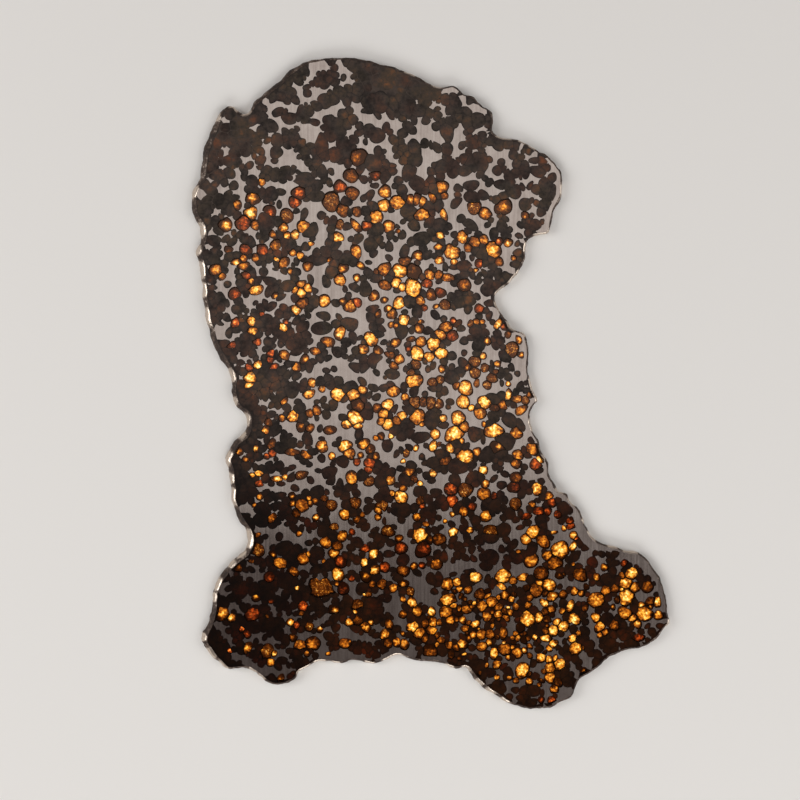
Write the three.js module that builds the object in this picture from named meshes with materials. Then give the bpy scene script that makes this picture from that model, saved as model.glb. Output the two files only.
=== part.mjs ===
// A polished slice of a pallasite, a stony-iron meteorite: one thin plate of nickel-iron with
// olivine crystals grown into it, cut flat and parallel on both faces. It lies on its back face.
// The faces are ground flush, so the crystals add no relief and the plate is one solid. Its rim is
// the weathered outside of the meteorite, lobed and nibbled, and it leans outwards on one side.
//
// Millimetres. +X is right and +Y up as the face is read, +Z is up out of the front face.
// The origin is the middle of the plate's bounding box, on the back face.

import * as THREE from 'three';

// Driving dimensions
const sliceLength = 250;
const sliceThickness = 3.2;

// The rim. How far the front face's edge stands in from the widest outline: a little all round,
// and more where the crust leans out, on the side that faces crustSide.
const frontArris = 0.5;
const backArris = 0.45;
const crustLean = 1.9;
const crustSide = new THREE.Vector2(-1, 0.12).normalize();

// Grain of the rim: lumps where crystals stand out of the crust, and fine nibbles between them
const lumpHeight = 0.3;
const lumpSpacing = 8.5;
const nibbleHeight = 0.13;
const nibbleSpacing = 4.6;

// Fineness
const outlineSteps = 430;
const smoothingSteps = 4;

// The outline, read off the photograph in its pixels, clockwise from the top of the left side.
// Each stretch is a feature of the edge, and a smooth curve runs through all of them.
const knobAndNotch = [
  [209.5, 131], [213, 124], [216.5, 116], [221, 109.5], [227, 105.5], [232, 104.2], [235.5, 107],
  [238, 111], [242, 112.6], [247, 112.2], [250, 108.5], [252.5, 102.5],
];
const crown = [
  [257, 97.5], [265, 91], [273, 84], [281, 77], [288, 70.5], [297, 64.5], [307, 60], [320, 57.8],
  [336, 56.8], [352, 57], [366, 59], [380, 63], [394, 66.5], [407, 71.2], [419, 76.5],
  [429, 82.5], [435, 85.3], [446, 86.2], [455, 85.4],
];
const upperShoulder = [
  [460, 89], [466, 93.8], [474, 96.2], [479, 101.5], [485, 106.8], [491, 110], [494.3, 117],
  [494, 124], [492.6, 130], [497, 134.8], [505, 137.4], [515, 138.3], [523, 140.6], [530, 145.4],
  [538, 149.8], [546, 153.6], [552, 159.2], [558, 165.2], [562, 172.6], [563.2, 181],
  [562.8, 192], [560, 201.5], [555.5, 210], [552.8, 218.5], [551.6, 227], [549.4, 232.6],
];
const bayUnderShoulder = [
  [541.5, 234.6], [533, 237.2], [528, 242], [525.6, 249], [526.8, 257.5], [523.5, 264.5],
  [518.6, 273], [511.5, 281.4], [503.5, 288.2], [497.4, 293.8], [495.8, 299.6], [498.2, 306.4],
  [503, 313.4], [507.8, 320.4], [512, 327.2], [518.6, 330.4], [524.8, 333.4],
];
const waist = [
  [527.8, 340], [529.6, 349], [529.2, 360], [529, 371], [532, 383], [535.6, 393.4], [537.8, 401],
  [534, 406.6], [530.8, 413], [531.6, 424], [536, 434.6], [540.4, 443], [543.4, 453.6],
  [549, 462.8], [549.8, 474], [554.6, 482.6], [559.6, 490.6], [567, 493.4],
];
const instep = [
  [571, 500.8], [578.4, 507.4], [583, 515.8], [587, 525.6], [591.4, 534.4], [599.4, 540.8],
  [610, 545.2], [619, 546.4], [626.6, 550.4], [638.6, 551.4], [644.4, 555.4], [650.6, 562.4],
  [656.8, 571], [661.8, 580.6], [665.6, 592], [668, 604],
];
const toe = [
  [668.6, 613.6], [670.4, 621.6], [665.8, 628.4], [658.6, 637], [649.6, 644.6], [638.4, 648.4],
  [626, 650.6], [615, 654.4], [606, 660.6], [598.6, 667.6], [588.6, 674.6], [579.4, 680],
  [576.6, 689],
];
const lowerLobe = [
  [571.6, 697], [562, 702.2], [552.4, 707.4], [541, 708.8], [527, 708.6], [512, 705.4],
  [498, 697.8], [485, 689.8], [476, 681.8], [470.6, 673.6], [465.4, 668.4], [455, 669.2],
  [446.6, 665.2], [437, 662.2],
];
const underside = [
  [423, 661.8], [409, 658.6], [396.6, 655], [386.6, 660.2], [375, 663.6], [362, 661.8],
  [350.6, 660.4], [341, 663.8], [329, 661.4], [318, 662.2], [307.4, 667.4], [300.4, 671.6],
];
const heel = [
  [297, 677.6], [289.4, 682.6], [279, 685], [268, 683], [258.4, 676], [250, 669.2], [239, 668.8],
  [228.4, 669.4], [218.4, 662.6], [208, 653], [201.6, 643.6], [201.8, 633], [207.2, 622.4],
  [210.6, 611], [212.2, 598], [213.8, 586], [219.4, 576], [226.8, 565.4],
];
const backOfAnkle = [
  [235.4, 557.2], [243.4, 550], [247.2, 541], [244.8, 530.6], [239.2, 521], [234.4, 511],
  [230.8, 500], [230.2, 488], [229, 476.6], [226.6, 466.6], [224.4, 460], [228, 449.6],
  [234.2, 440.2], [242.4, 433], [246.4, 423], [244, 413.8], [237.2, 408.6], [232.6, 399.4],
];
const leftSide = [
  [230.6, 390], [231.6, 380.6], [227.2, 371], [221.8, 361.4], [215.4, 351.6], [211.2, 340],
  [207.4, 327], [204, 313], [202.4, 299], [201.2, 284], [199.4, 271], [197, 259], [195.4, 250.6],
  [199.6, 239.6], [199, 227.4], [193.6, 217.6], [190.6, 207], [191, 196.6], [194.4, 186],
  [199.6, 176], [200.8, 163], [202.6, 150], [206.2, 139.4],
];
const outlineOnPhoto = [
  knobAndNotch, crown, upperShoulder, bayUnderShoulder, waist, instep, toe, lowerLobe, underside,
  heel, backOfAnkle, leftSide,
].flat();

// One smooth closed curve through the outline's points, still in the photograph's pixels, with y
// turned up
function outlineCurve() {
  const points = outlineOnPhoto.map(([x, y]) => new THREE.Vector3(x, -y, 0));
  return new THREE.CatmullRomCurve3(points, true, 'centripetal');
}

// The curve as evenly spaced points in millimetres, centred on its own box
function outlinePoints() {
  const sampled = outlineCurve().getSpacedPoints(outlineSteps).slice(0, outlineSteps);
  const box = new THREE.Box3().setFromPoints(sampled);
  const size = box.getSize(new THREE.Vector3());
  const middle = box.getCenter(new THREE.Vector3());
  const millimetresPerPixel = sliceLength / size.y;
  return sampled.map((p) => {
    const point = p.sub(middle).multiplyScalar(millimetresPerPixel);
    return new THREE.Vector2(point.x, point.y);
  });
}

const wrap = (index) => (index + outlineSteps) % outlineSteps;

// The outline runs clockwise, so the outside is to the left of the way it runs
function outwardNormals(points, reach) {
  return points.map((_, i) => {
    const along = points[wrap(i + reach)].clone().sub(points[wrap(i - reach)]);
    return new THREE.Vector2(-along.y, along.x).normalize();
  });
}

// Distance along the outline at each point, for the rim's lumps
function distances(points) {
  let run = 0;
  return points.map((p, i) => {
    run += i === 0 ? 0 : p.distanceTo(points[i - 1]);
    return run;
  });
}

// A wave that closes on itself after a whole number of swings round the rim
function closedWave(distance, girth, spacing, start) {
  const swings = Math.round(girth / spacing);
  return Math.sin((distance / girth) * swings * 2 * Math.PI + start);
}

// Lumps come and go round the rim: two waves of unlike length beat with each other
function lumpsAt(distance, girth, start) {
  const slow = closedWave(distance, girth, lumpSpacing * 2.7, start * 2 + 1);
  const lump = closedWave(distance, girth, lumpSpacing, start);
  const nibble = closedWave(distance, girth, nibbleSpacing, start * 3);
  return lumpHeight * lump * (0.6 + 0.4 * slow) + nibbleHeight * nibble * (0.6 - 0.4 * slow);
}

// The rim from the back face to the front: height up the plate, how much of each arris and of the
// crust's lean the ring stands in by, how much the lumps move it, and where their wave starts
const rimRings = [
  { height: 0, back: 1, front: 0, lean: 0.05, lumps: 0.5, start: 0.3 },
  { height: 0.16, back: 0, front: 0, lean: 0, lumps: 1, start: 0.3 },
  { height: 0.5, back: 0, front: 0, lean: 0.3, lumps: 0.9, start: 0.8 },
  { height: 0.84, back: 0, front: 0.2, lean: 0.74, lumps: 0.7, start: 1.5 },
  { height: 1, back: 0, front: 1, lean: 1, lumps: 0.5, start: 1.5 },
];

function ringPoints(ring, points, normals, run, girth) {
  return points.map((p, i) => {
    const facing = Math.max(0, normals[i].dot(crustSide));
    const lean = crustLean * facing * (0.85 + 0.15 * closedWave(run[i], girth, lumpSpacing * 5, 2));
    const lumps = lumpsAt(run[i], girth, ring.start) * ring.lumps;
    const inset = ring.back * backArris + ring.front * frontArris + ring.lean * lean - lumps;
    return p.clone().addScaledVector(normals[i], -inset);
  });
}

// The plate as one closed skin: two flat faces and the rings of the rim between them
function plateGeometry() {
  const points = outlinePoints();
  const normals = outwardNormals(points, smoothingSteps);
  const run = distances(points);
  const girth = run[run.length - 1] + points[0].distanceTo(points[points.length - 1]);
  const rings = rimRings.map((ring) => ringPoints(ring, points, normals, run, girth));

  const vertices = rings.flatMap((ring, level) =>
    ring.flatMap((p) => [p.x, p.y, rimRings[level].height * sliceThickness]));
  const triangles = [];
  for (let level = 0; level + 1 < rings.length; level += 1) {
    for (let i = 0; i < outlineSteps; i += 1) {
      const low = level * outlineSteps + i;
      const lowNext = level * outlineSteps + wrap(i + 1);
      const high = low + outlineSteps;
      const highNext = lowNext + outlineSteps;
      triangles.push(low, high, lowNext, lowNext, high, highNext);
    }
  }
  const topStart = (rings.length - 1) * outlineSteps;
  for (const [a, b, c] of faceTriangles(rings[rings.length - 1])) {
    triangles.push(topStart + a, topStart + b, topStart + c);
  }
  for (const [a, b, c] of faceTriangles(rings[0])) {
    triangles.push(a, c, b);
  }
  const geometry = new THREE.BufferGeometry();
  geometry.setAttribute('position', new THREE.Float32BufferAttribute(vertices, 3));
  geometry.setIndex(triangles);
  return centredOnBackFace(geometry);
}

// Triangles that fill one face, each turned anticlockwise as seen from the front
function faceTriangles(ring) {
  const turn = (a, b, c) => (b.x - a.x) * (c.y - a.y) - (b.y - a.y) * (c.x - a.x);
  return THREE.ShapeUtils.triangulateShape(ring, []).map(([a, b, c]) =>
    (turn(ring[a], ring[b], ring[c]) > 0 ? [a, b, c] : [a, c, b]));
}

// The lumps shift the box a little, so the finished plate is centred again
function centredOnBackFace(geometry) {
  geometry.computeBoundingBox();
  const middle = geometry.boundingBox.getCenter(new THREE.Vector3());
  geometry.translate(-middle.x, -middle.y, -geometry.boundingBox.min.z);
  geometry.computeVertexNormals();
  return geometry;
}

// Nickel-iron with olivine shows as a warm mid grey from far off
const polishedStone = new THREE.MeshStandardMaterial({
  color: 0x6e625c,
  roughness: 0.35,
  metalness: 0.5,
});

function makeSlice() {
  const slice = new THREE.Mesh(plateGeometry(), polishedStone);
  slice.name = 'slice';
  return slice;
}

const pallasiteSlice = new THREE.Group();
pallasiteSlice.add(makeSlice());

export default pallasiteSlice;
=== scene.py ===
"""A polished slice of a pallasite meteorite: olivine crystals grown into a nickel-iron web.

The slice lies on its back face and is seen from straight above, with a light panel under it, so
that its clear crystals glow. Millimetres are used up to the meshes, which are in metres.
"""

import math
import random
from functools import lru_cache
from itertools import product

import bpy
import numpy as np
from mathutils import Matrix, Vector, noise
from mathutils.geometry import delaunay_2d_cdt


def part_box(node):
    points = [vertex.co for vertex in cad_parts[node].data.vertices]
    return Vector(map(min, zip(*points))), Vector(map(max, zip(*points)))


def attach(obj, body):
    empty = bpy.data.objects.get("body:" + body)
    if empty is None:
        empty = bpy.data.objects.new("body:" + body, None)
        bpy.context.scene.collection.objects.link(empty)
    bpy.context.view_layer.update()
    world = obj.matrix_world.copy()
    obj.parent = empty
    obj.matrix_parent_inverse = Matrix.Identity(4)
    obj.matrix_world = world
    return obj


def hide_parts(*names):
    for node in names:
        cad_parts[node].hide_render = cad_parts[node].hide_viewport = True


bl_info = {
    "name": "Pallasite slice",
    "version": (1, 0, 0),
    "blender": (4, 5, 0),
    "location": "3D View > Sidebar > Pallasite",
    "description": "Builds a polished slice of a stony-iron meteorite, lit from behind",
    "category": "Add Mesh",
}

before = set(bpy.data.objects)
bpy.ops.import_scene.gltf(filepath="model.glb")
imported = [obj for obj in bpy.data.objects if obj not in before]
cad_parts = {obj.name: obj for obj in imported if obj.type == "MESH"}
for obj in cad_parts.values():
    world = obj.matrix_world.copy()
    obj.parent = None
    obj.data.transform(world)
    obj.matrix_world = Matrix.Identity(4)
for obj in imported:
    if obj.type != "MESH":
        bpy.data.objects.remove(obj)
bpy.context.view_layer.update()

MM = 0.001
# Too small to matter, and further than anything here
TINY = 1e-9
FAR = 1e3

# Where the slice's edges lie in the photograph, in its pixels, and the picture's own size
PHOTO_LEFT, PHOTO_RIGHT = 190.5, 670.0
PHOTO_TOP, PHOTO_BOTTOM = 56.8, 709.0
PHOTO_MIDDLE = 400.0
PHOTO_SIZE = 800.0

plate_low, plate_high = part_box("slice")
PLATE_WIDTH = (plate_high[0] - plate_low[0]) / MM
PLATE_LENGTH = (plate_high[1] - plate_low[1]) / MM
THICKNESS = (plate_high[2] - plate_low[2]) / MM
PIXEL = PLATE_LENGTH / (PHOTO_BOTTOM - PHOTO_TOP)

# Crystals that glow, in the photograph's pixels. Each is its middle and how far its glow
# reaches; then the width of its dark ring where that isn't plain; then, on a long one, how many
# times longer it is than wide, and the way it points in degrees, anticlockwise from the right.
PLAIN_RING = 1.3
# So bright that their middles are almost white
BRIGHT_CRYSTALS = [
    # Above the waist
    (251, 213, 6), (295, 235, 4), (400, 271, 7), (396, 283, 5), (402, 287, 4),
    (413, 288, 9, 1, 1.4, 110), (399, 303, 5.5), (404, 320, 5.5), (371, 339, 6.5),
    (434, 344, 6.5), (441, 353, 6), (417, 354, 7, 1.3, 1.3, 110), (429, 357, 4.5),
    (498, 324, 4, 1, 1.6, 60), (236, 262, 3, 2, 1.5, 0), (301, 293, 4.5), (296, 310, 4.5),
    (283, 328, 4.5), (253, 331, 3.5, 2, 1.5, 0), (258, 365, 4), (250, 377, 6),
    (249, 385, 4, 1, 2.2, 8),
    # Waist
    (338, 394, 7), (355, 418, 8), (347, 424, 4.5), (358, 425, 4), (388, 405, 5.5),
    (388, 424, 5.5), (465, 388, 7), (463, 402, 6.5, 0.8), (471, 408, 3, 0.8), (485, 402, 6.5),
    (508, 395, 4, 1, 2, 80), (458, 418, 6.5), (454, 434, 8, 1.3, 1.4, 30),
    (494, 431, 8, 1.3, 1.25, 0), (435, 434, 5, 0.8), (433, 446, 4.5, 1, 1.4, 70),
    (416, 448, 3, 0.6, 1.5, 60), (391, 436, 2.5, 0.8), (403, 461, 2.4, 0.6), (433, 473, 3.5),
    (420, 484, 3, 0.8), (443, 418, 3.5, 1), (450, 448, 4.5), (465, 457, 8.5), (483, 470, 4.5, 1),
    (541, 459, 4), (345, 446, 6, 1.3, 1.3, 20), (332, 456, 3), (293, 416, 6, 1),
    (277, 479, 4, 1.5, 2, 0), (253, 475, 2.4, 1), (256, 449, 2.5, 2), (401, 497, 5.5, 2),
    (537, 488, 6, 1.3), (316, 518, 2.4, 2),
    # Foot
    (420, 535, 7, 2, 1.3, 30), (452, 514, 2.5, 0.6), (453, 532, 4.5, 0.8), (470, 530, 2.8, 1),
    (428, 509, 2, 0.8), (364, 562, 4.5, 0.8), (374, 554, 5, 1, 1.2, 40), (375, 570, 4.5, 2),
    (573, 535, 4, 0.6), (573, 546, 4, 1, 1.6, 60), (560, 550, 8.5, 1.3),
    (503, 576, 7.5, 1, 1.2, 0), (475, 577, 6, 1), (549, 585, 6, 1.3), (474, 603, 2.4, 0.6),
    (475, 624, 4.4, 0.6, 1.8, 25), (508, 607, 1.7, 0.8), (544, 603, 4, 1, 1.6, -50),
    (570, 606, 4.5, 1, 1.7, 75), (527, 619, 8, 1), (539, 617, 4.5, 1, 1.6, 90), (574, 619, 6, 1),
    (563, 626, 5.5, 1), (553, 630, 5.2, 1, 1.2, 60), (545, 638, 4.5, 1, 1.8, 0), (535, 637, 3, 1),
    (573, 638, 4.5, 1, 1.3, 20), (553, 644, 4.2, 1, 1.5, 50), (522, 670, 7.2, 1, 1.1, 60),
    (494, 653, 4.6, 1.3, 1.7, 88), (504, 643, 2.4, 0.8), (524, 650, 2.4, 1.3), (413, 627, 6, 1.3),
    (431, 611, 4.4, 1), (464, 654, 2.4, 0.6, 1.6, 25), (632, 573, 6.5, 1.3, 1.3, 30),
    (626, 597, 7.5, 1.3), (659, 601, 4.2, 1.3, 1.6, 85), (349, 622, 4, 0.6),
    (338, 574, 5.5, 2, 1.4, -75), (297, 588, 2.2, 1, 1.8, 15), (334, 609, 2.4, 4),
    (291, 622, 2.8, 2), (364, 594, 2.2, 0.6, 2, -60),
]
GOLD_CRYSTALS = [
    # Upper left
    (253, 199, 4, 4), (262, 182, 3, 2), (283, 228, 4, 2), (304, 227, 6, 1.3, 1.3, 0),
    (287, 236, 3.5), (338, 238, 5), (300, 256, 3.5), (293, 253, 3), (276, 246, 4, 3, 1.5, 60),
    (356, 252, 5, 2, 1.5, 110), (385, 192, 5, 2), (384, 206, 6), (397, 203, 7), (376, 217, 6.5),
    (256, 290, 5.5, 1.5, 1.6, 15), (295, 290, 3.5), (302, 284, 3.5, 1.5, 1.8, 10),
    (308, 288, 4.5, 1.5, 1.5, -50), (324, 301, 5, 2), (350, 306, 6), (252, 321, 4.5),
    (284, 355, 4.5, 1.5, 1.4, -30), (357, 278, 2.5, 2), (340, 280, 4.5, 2), (290, 271, 2, 2),
    # Upper right
    (422, 215, 5.5, 3, 1.5, 10), (443, 214, 5, 1.3, 2.4, 112), (440, 235, 4),
    (439, 247, 3.5, 1.3, 1.4, 0), (439, 260, 4), (452, 252, 7.5), (454, 262, 3), (462, 237, 6),
    (483, 240, 4.5), (493, 250, 8), (508, 243, 3, 2), (482, 322, 2.4, 1), (483, 356, 3, 1),
    (508, 384, 2.4, 0.8), (487, 341, 2, 3), (497, 364, 2.6, 1.5), (525, 355, 2, 2),
    (340, 333, 5, 2, 1.4, 70), (395, 343, 3, 3, 1.5, 20), (399, 359, 4.4), (363, 349, 3.5, 3),
    (388, 309, 2.4, 2), (442, 369, 2.5, 2),
    # Middle
    (312, 383, 4.5, 1), (322, 389, 3, 1), (309, 394, 4.6, 1.3, 1.4, 20),
    (353, 395, 6, 1.3, 1.2, -30), (363, 390, 4), (393, 391, 5, 2), (414, 381, 7, 2),
    (384, 414, 5), (382, 421, 4), (402, 416, 4.5), (480, 413, 5.5), (517, 399, 4, 1.5, 1.5, 0),
    (521, 410, 4.6, 1.3, 1.6, 25), (405, 397, 3.4, 1), (477, 452, 4), (462, 441, 2.4, 0.8),
    (518, 455, 4, 2.5), (498, 448, 2.4, 7), (266, 430, 3.5, 2), (282, 418, 2.4, 2),
    (301, 427, 2.5, 3), (259, 473, 3.8, 1.3, 1.5, 0), (285, 477, 3, 1), (292, 496, 1.6, 3),
    (292, 503, 2, 2), (260, 496, 2.4, 2), (309, 498, 2, 2), (310, 503, 2, 2), (345, 514, 4.5, 2),
    (342, 536, 4.8, 1.5, 1.2, 60), (326, 542, 5, 1.5), (352, 478, 5.5, 2, 1.3, 95),
    (322, 446, 5, 2), (364, 444, 4.6, 2, 1.3, 20), (376, 456, 2.4, 2), (392, 493, 2.5, 1),
    (403, 488, 3, 2), (390, 480, 4, 2), (485, 484, 3, 2), (484, 494, 5.5, 2), (379, 510, 3, 2),
    (378, 517, 2, 2), (417, 517, 3, 2), (445, 521, 1.7, 1), (486, 516, 4.6, 2, 1.3, 30),
    # Lower right
    (533, 532, 6.5, 1.3, 1.3, 40), (526, 539, 5), (553, 532, 2.6, 1, 2.2, 10), (564, 528, 2.5, 1),
    (547, 555, 4, 2), (531, 560, 6, 2), (500, 587, 4.4, 1.5, 1.5, -10), (505, 595, 3, 3),
    (523, 577, 4.4, 1, 1.4, 10), (573, 564, 2.5, 1), (596, 577, 3.5, 1), (604, 567, 2.4, 2),
    (539, 583, 3.4), (552, 596, 4.6, 1.3, 1.3, 30), (574, 591, 3.5), (581, 593, 2, 2),
    (511, 599, 3.2, 1.3, 1.3, 90), (528, 605, 3, 2), (516, 606, 3), (510, 612, 3, 1.3, 1.5, -40),
    (498, 614, 3.8), (596, 600, 8), (562, 611, 3, 1), (625, 583, 6, 1.3, 1.2, 0), (635, 587, 4.5),
    (641, 605, 3), (625, 613, 6.5, 1.3, 1.4, -15), (644, 613, 7.5, 1.3, 1.2, -15), (632, 618, 4),
    (658, 615, 4), (596, 617, 4.6), (637, 624, 3.5), (600, 626, 4.6, 2, 1.4, 50),
    (557, 622, 4, 1), (549, 648, 3, 1), (576, 648, 6.2, 1.3, 1.2, 60), (541, 657, 4.5),
    (549, 659, 3), (560, 664, 6, 1), (550, 668, 5.5, 1), (529, 681, 3), (550, 677, 5),
    (554, 689, 3, 2), (497, 664, 4), (469, 667, 2),
    # Lower middle
    (447, 584, 5, 2), (457, 582, 4, 1), (459, 589, 2.8, 1), (448, 600, 6.5, 2, 1.3, 10),
    (453, 605, 4, 1), (446, 612, 6.5), (466, 609, 4.6, 1, 1.3, -20), (482, 606, 4.6, 2),
    (487, 616, 4.5), (503, 633, 4.6, 1.3, 1.4, 85), (481, 634, 4.5, 2),
    (482, 646, 4.6, 1.3, 1.3, 10), (489, 642, 3), (517, 652, 4.6, 2), (518, 638, 3, 1),
    (462, 644, 4, 2), (432, 630, 4.6, 1.3, 1.3, -10), (419, 633, 5, 2), (439, 622, 3, 1),
    (417, 611, 4.5, 2), (412, 603, 4.2, 2, 1.3, 110), (385, 634, 4, 2),
    (366, 627, 4, 2, 1.5, -30), (371, 622, 2, 2), (355, 612, 2, 1),
    # Lower left
    (221, 613, 5.5, 3), (232, 618, 3.5, 2), (248, 648, 4, 2, 1.6, 70), (274, 653, 3, 1),
    (271, 662, 3.6, 1.5, 1.4, 0), (256, 597, 2, 3), (280, 563, 6, 2, 1.7, 0), (308, 555, 2.5, 2),
    (320, 629, 2, 2), (334, 553, 4, 2), (320, 579, 1.6, 4),
]
AMBER_CRYSTALS = [
    (351, 176, 4, 4), (358, 158, 4, 6), (352, 194, 4.6, 3), (309, 134, 3, 7), (417, 200, 3.5, 3),
    (422, 202, 4, 2), (411, 200, 3, 3), (432, 197, 3.6, 2.4, 2.6, 125), (442, 187, 4.6, 2.5),
    (444, 196, 2.6, 2), (485, 214, 4.5, 2.5), (503, 207, 4.6, 5), (225, 225, 4, 4),
    (237, 205, 3, 3), (256, 225, 3, 3), (343, 210, 4.6, 3), (357, 212, 3, 3),
    (356, 226, 4, 2, 2.4, 125), (389, 227, 5, 2), (244, 258, 3, 2), (256, 258, 3, 2),
    (229, 250, 2, 3), (216, 270, 4.4, 3), (222, 276, 3, 2), (244, 266, 3.6, 2, 1.6, 10),
    (284, 263, 4.6, 2, 1.5, 60), (308, 266, 3, 3), (384, 270, 5.6, 2, 1.4, 60),
    (385, 285, 4.6, 2, 1.3, -20), (392, 314, 3, 3), (391, 325, 2.4), (396, 326, 2.4),
    (374, 296, 3, 3), (328, 342, 4.6, 2, 1.5, -5), (378, 351, 2.5, 3), (316, 351, 3.6, 2, 1.8, 5),
    (343, 268, 3, 3), (418, 256, 3.4, 3), (468, 248, 3, 2), (475, 242, 5, 2, 1.4, -30),
    (430, 275, 4.6, 2), (438, 275, 4), (448, 278, 4.2, 2, 1.8, -10), (431, 295, 3.5, 3),
    (446, 327, 4.6, 2, 1.4, 10), (421, 342, 4.5), (464, 285, 4.6, 3), (419, 328, 3, 3),
    (499, 262, 3, 2), (514, 258, 2, 2), (379, 364, 4.5, 2), (457, 386, 3, 2), (417, 417, 7.5),
    (377, 408, 3, 2), (381, 436, 2.4, 2), (376, 438, 2.4, 1), (330, 430, 3, 3, 1.4, 0),
    (502, 405, 4, 2), (516, 433, 5, 2), (464, 427, 4.6), (484, 424, 2.4, 1), (516, 463, 3, 3),
    (532, 449, 5.4, 2), (530, 394, 2.4, 2), (310, 413, 4, 2, 1.4, 30), (316, 411, 4, 2),
    (310, 428, 3, 2), (292, 452, 4.4, 2, 2.6, -8), (306, 455, 3.8, 2, 1.6, -20), (349, 453, 5, 2),
    (284, 401, 2.8, 2, 1.5, 50), (272, 518, 4, 2, 1.6, 35), (302, 505, 6, 2), (296, 513, 2.6, 3),
    (357, 519, 3, 2), (231, 447, 3, 2), (246, 459, 2, 2), (409, 471, 3.8, 3, 1.8, 10),
    (399, 538, 2.5, 2), (464, 511, 4, 2), (516, 478, 4, 3), (553, 492, 4, 1.5),
    (439, 539, 4.6, 2.5), (436, 564, 4.6, 2, 1.3, 0), (414, 566, 2.5, 2), (403, 571, 4, 3),
    (393, 588, 4.2, 1.5, 1.8, 20), (403, 614, 3.5), (382, 584, 4, 2), (372, 584, 3, 2),
    (425, 623, 3.5, 2), (389, 624, 3, 3, 1.4, 90), (358, 620, 4, 2), (388, 643, 3.6, 2),
    (397, 642, 3.6, 2), (404, 644, 3.8, 2), (430, 652, 4.5, 4), (441, 640, 3, 2),
    (449, 645, 3, 2), (456, 647, 3, 2), (450, 620, 4.6), (468, 589, 3, 2), (480, 594, 4.4, 2),
    (492, 602, 5, 2), (498, 588, 3, 2), (490, 634, 4, 2), (505, 649, 5.4, 2),
    (543, 541, 5.6, 2, 1.4, -50), (541, 573, 5, 3), (580, 574, 5.4, 3, 1.2, -30),
    (536, 590, 6, 2), (563, 594, 3, 2), (551, 609, 3, 2), (647, 586, 5, 2),
    (650, 601, 3.6, 2, 1.5, 20), (606, 590, 4, 2), (614, 588, 3.6, 2), (614, 625, 4, 3),
    (605, 632, 2.8, 2, 1.6, 40), (583, 647, 3, 1), (509, 677, 2.5, 1), (299, 533, 2.5),
    (337, 546, 4, 2), (303, 558, 5.6, 2, 1.2, 20), (293, 571, 4, 2, 1.6, -35), (324, 561, 2, 1),
    (337, 584, 2, 2), (300, 645, 4.6, 2, 1.3, 0), (313, 643, 5, 3), (345, 643, 5, 2, 1.8, 0),
    (307, 653, 2, 2), (328, 657, 2, 1), (293, 637, 2, 3), (237, 566, 2.4, 3),
    (252, 561, 2.2, 1, 2, -5), (532, 504, 2.4, 2),
]
RED_CRYSTALS = [
    (299, 194, 4, 4), (295, 202, 4, 3), (340, 187, 4, 3), (375, 175, 2.5, 4), (243, 223, 6.5, 2),
    (270, 211, 3, 4), (246, 250, 4, 3), (263, 250, 4, 3), (247, 276, 3.6, 2, 1.5, 0),
    (235, 294, 4, 3), (236, 323, 3.6, 2, 1.4, 70), (286, 322, 2, 2), (257, 342, 3, 2),
    (232, 345, 3.4, 2, 2, 10), (271, 353, 3, 2), (270, 360, 2.5, 2), (249, 368, 3, 2),
    (274, 367, 3, 2, 1.5, 20), (357, 303, 4, 1.5), (427, 283, 4, 2), (440, 293, 3, 3),
    (424, 308, 2, 2), (452, 336, 4.5, 2), (453, 321, 2, 2), (409, 349, 2, 2), (367, 226, 3, 3),
    (479, 309, 3.4, 2), (504, 327, 2, 2), (480, 263, 3, 3), (272, 453, 3, 2), (267, 456, 2, 2),
    (357, 462, 3.2, 1), (370, 463, 4.6, 2), (368, 470, 3, 2), (352, 532, 3, 1), (401, 548, 4, 3),
    (423, 549, 4, 5), (422, 506, 2.5, 1.5), (365, 548, 3.6, 2, 1.6, 20), (352, 578, 3, 1),
    (422, 565, 2, 2), (385, 567, 4, 2), (343, 588, 3, 4), (452, 501, 5, 2), (451, 489, 4.6, 3),
    (472, 507, 3, 2), (494, 496, 2.5, 2), (514, 487, 3, 4), (551, 502, 3, 3),
    (539, 511, 4.4, 2, 1.5, 0), (558, 514, 3, 2), (547, 511, 3, 2), (570, 521, 3, 2),
    (576, 523, 3.4, 2, 1.8, 20), (582, 535, 2, 1), (552, 526, 3, 3), (536, 464, 5, 2),
    (270, 577, 3.5, 3), (303, 606, 4, 2), (271, 601, 1.8, 2, 1.6, 0), (247, 633, 2.5, 3),
    (253, 614, 6.4, 2, 1.7, 25), (296, 625, 3, 2), (541, 699, 2, 2), (552, 701, 3, 2),
    (638, 637, 4, 2, 1.6, 10), (624, 563, 2.4, 2),
]
# Dark crystals with bright cracks and specks in them
FLECKED_CRYSTALS = [
    (287, 216, 6.5, 1), (331, 202, 8, 2), (340, 225, 4.6, 1), (474, 207, 6, 2), (445, 305, 5, 1),
    (411, 373, 4, 1), (416, 364, 4, 2), (433, 383, 4, 2), (440, 380, 3, 2), (415, 402, 6, 1),
    (431, 403, 5, 2), (438, 404, 4, 2), (475, 361, 5.4, 1), (475, 373, 5, 1), (485, 368, 4, 1),
    (492, 378, 4, 2), (487, 385, 4, 1), (511, 350, 7.5, 1), (525, 400, 4, 1), (331, 505, 5.6, 1),
    (334, 527, 4.4, 0.6), (355, 503, 5, 2), (382, 505, 5, 2), (369, 481, 4, 2),
    (406, 453, 3.4, 1), (300, 475, 3.6, 3, 2, 10), (324, 498, 3, 2), (388, 531, 5, 2),
    (410, 591, 4.4, 0.6), (321, 587, 11, 2, 1.3, -10), (267, 651, 7, 1), (309, 626, 4, 2),
    (515, 504, 5, 2), (418, 256, 3.6, 2), (471, 324, 3.4, 1), (490, 532, 7, 2, 1.4, 0),
    (358, 604, 5, 2, 1.5, 0), (268, 617, 2.4, 1, 2, -60), (250, 547, 6, 2), (465, 490, 6, 2),
]
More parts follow.
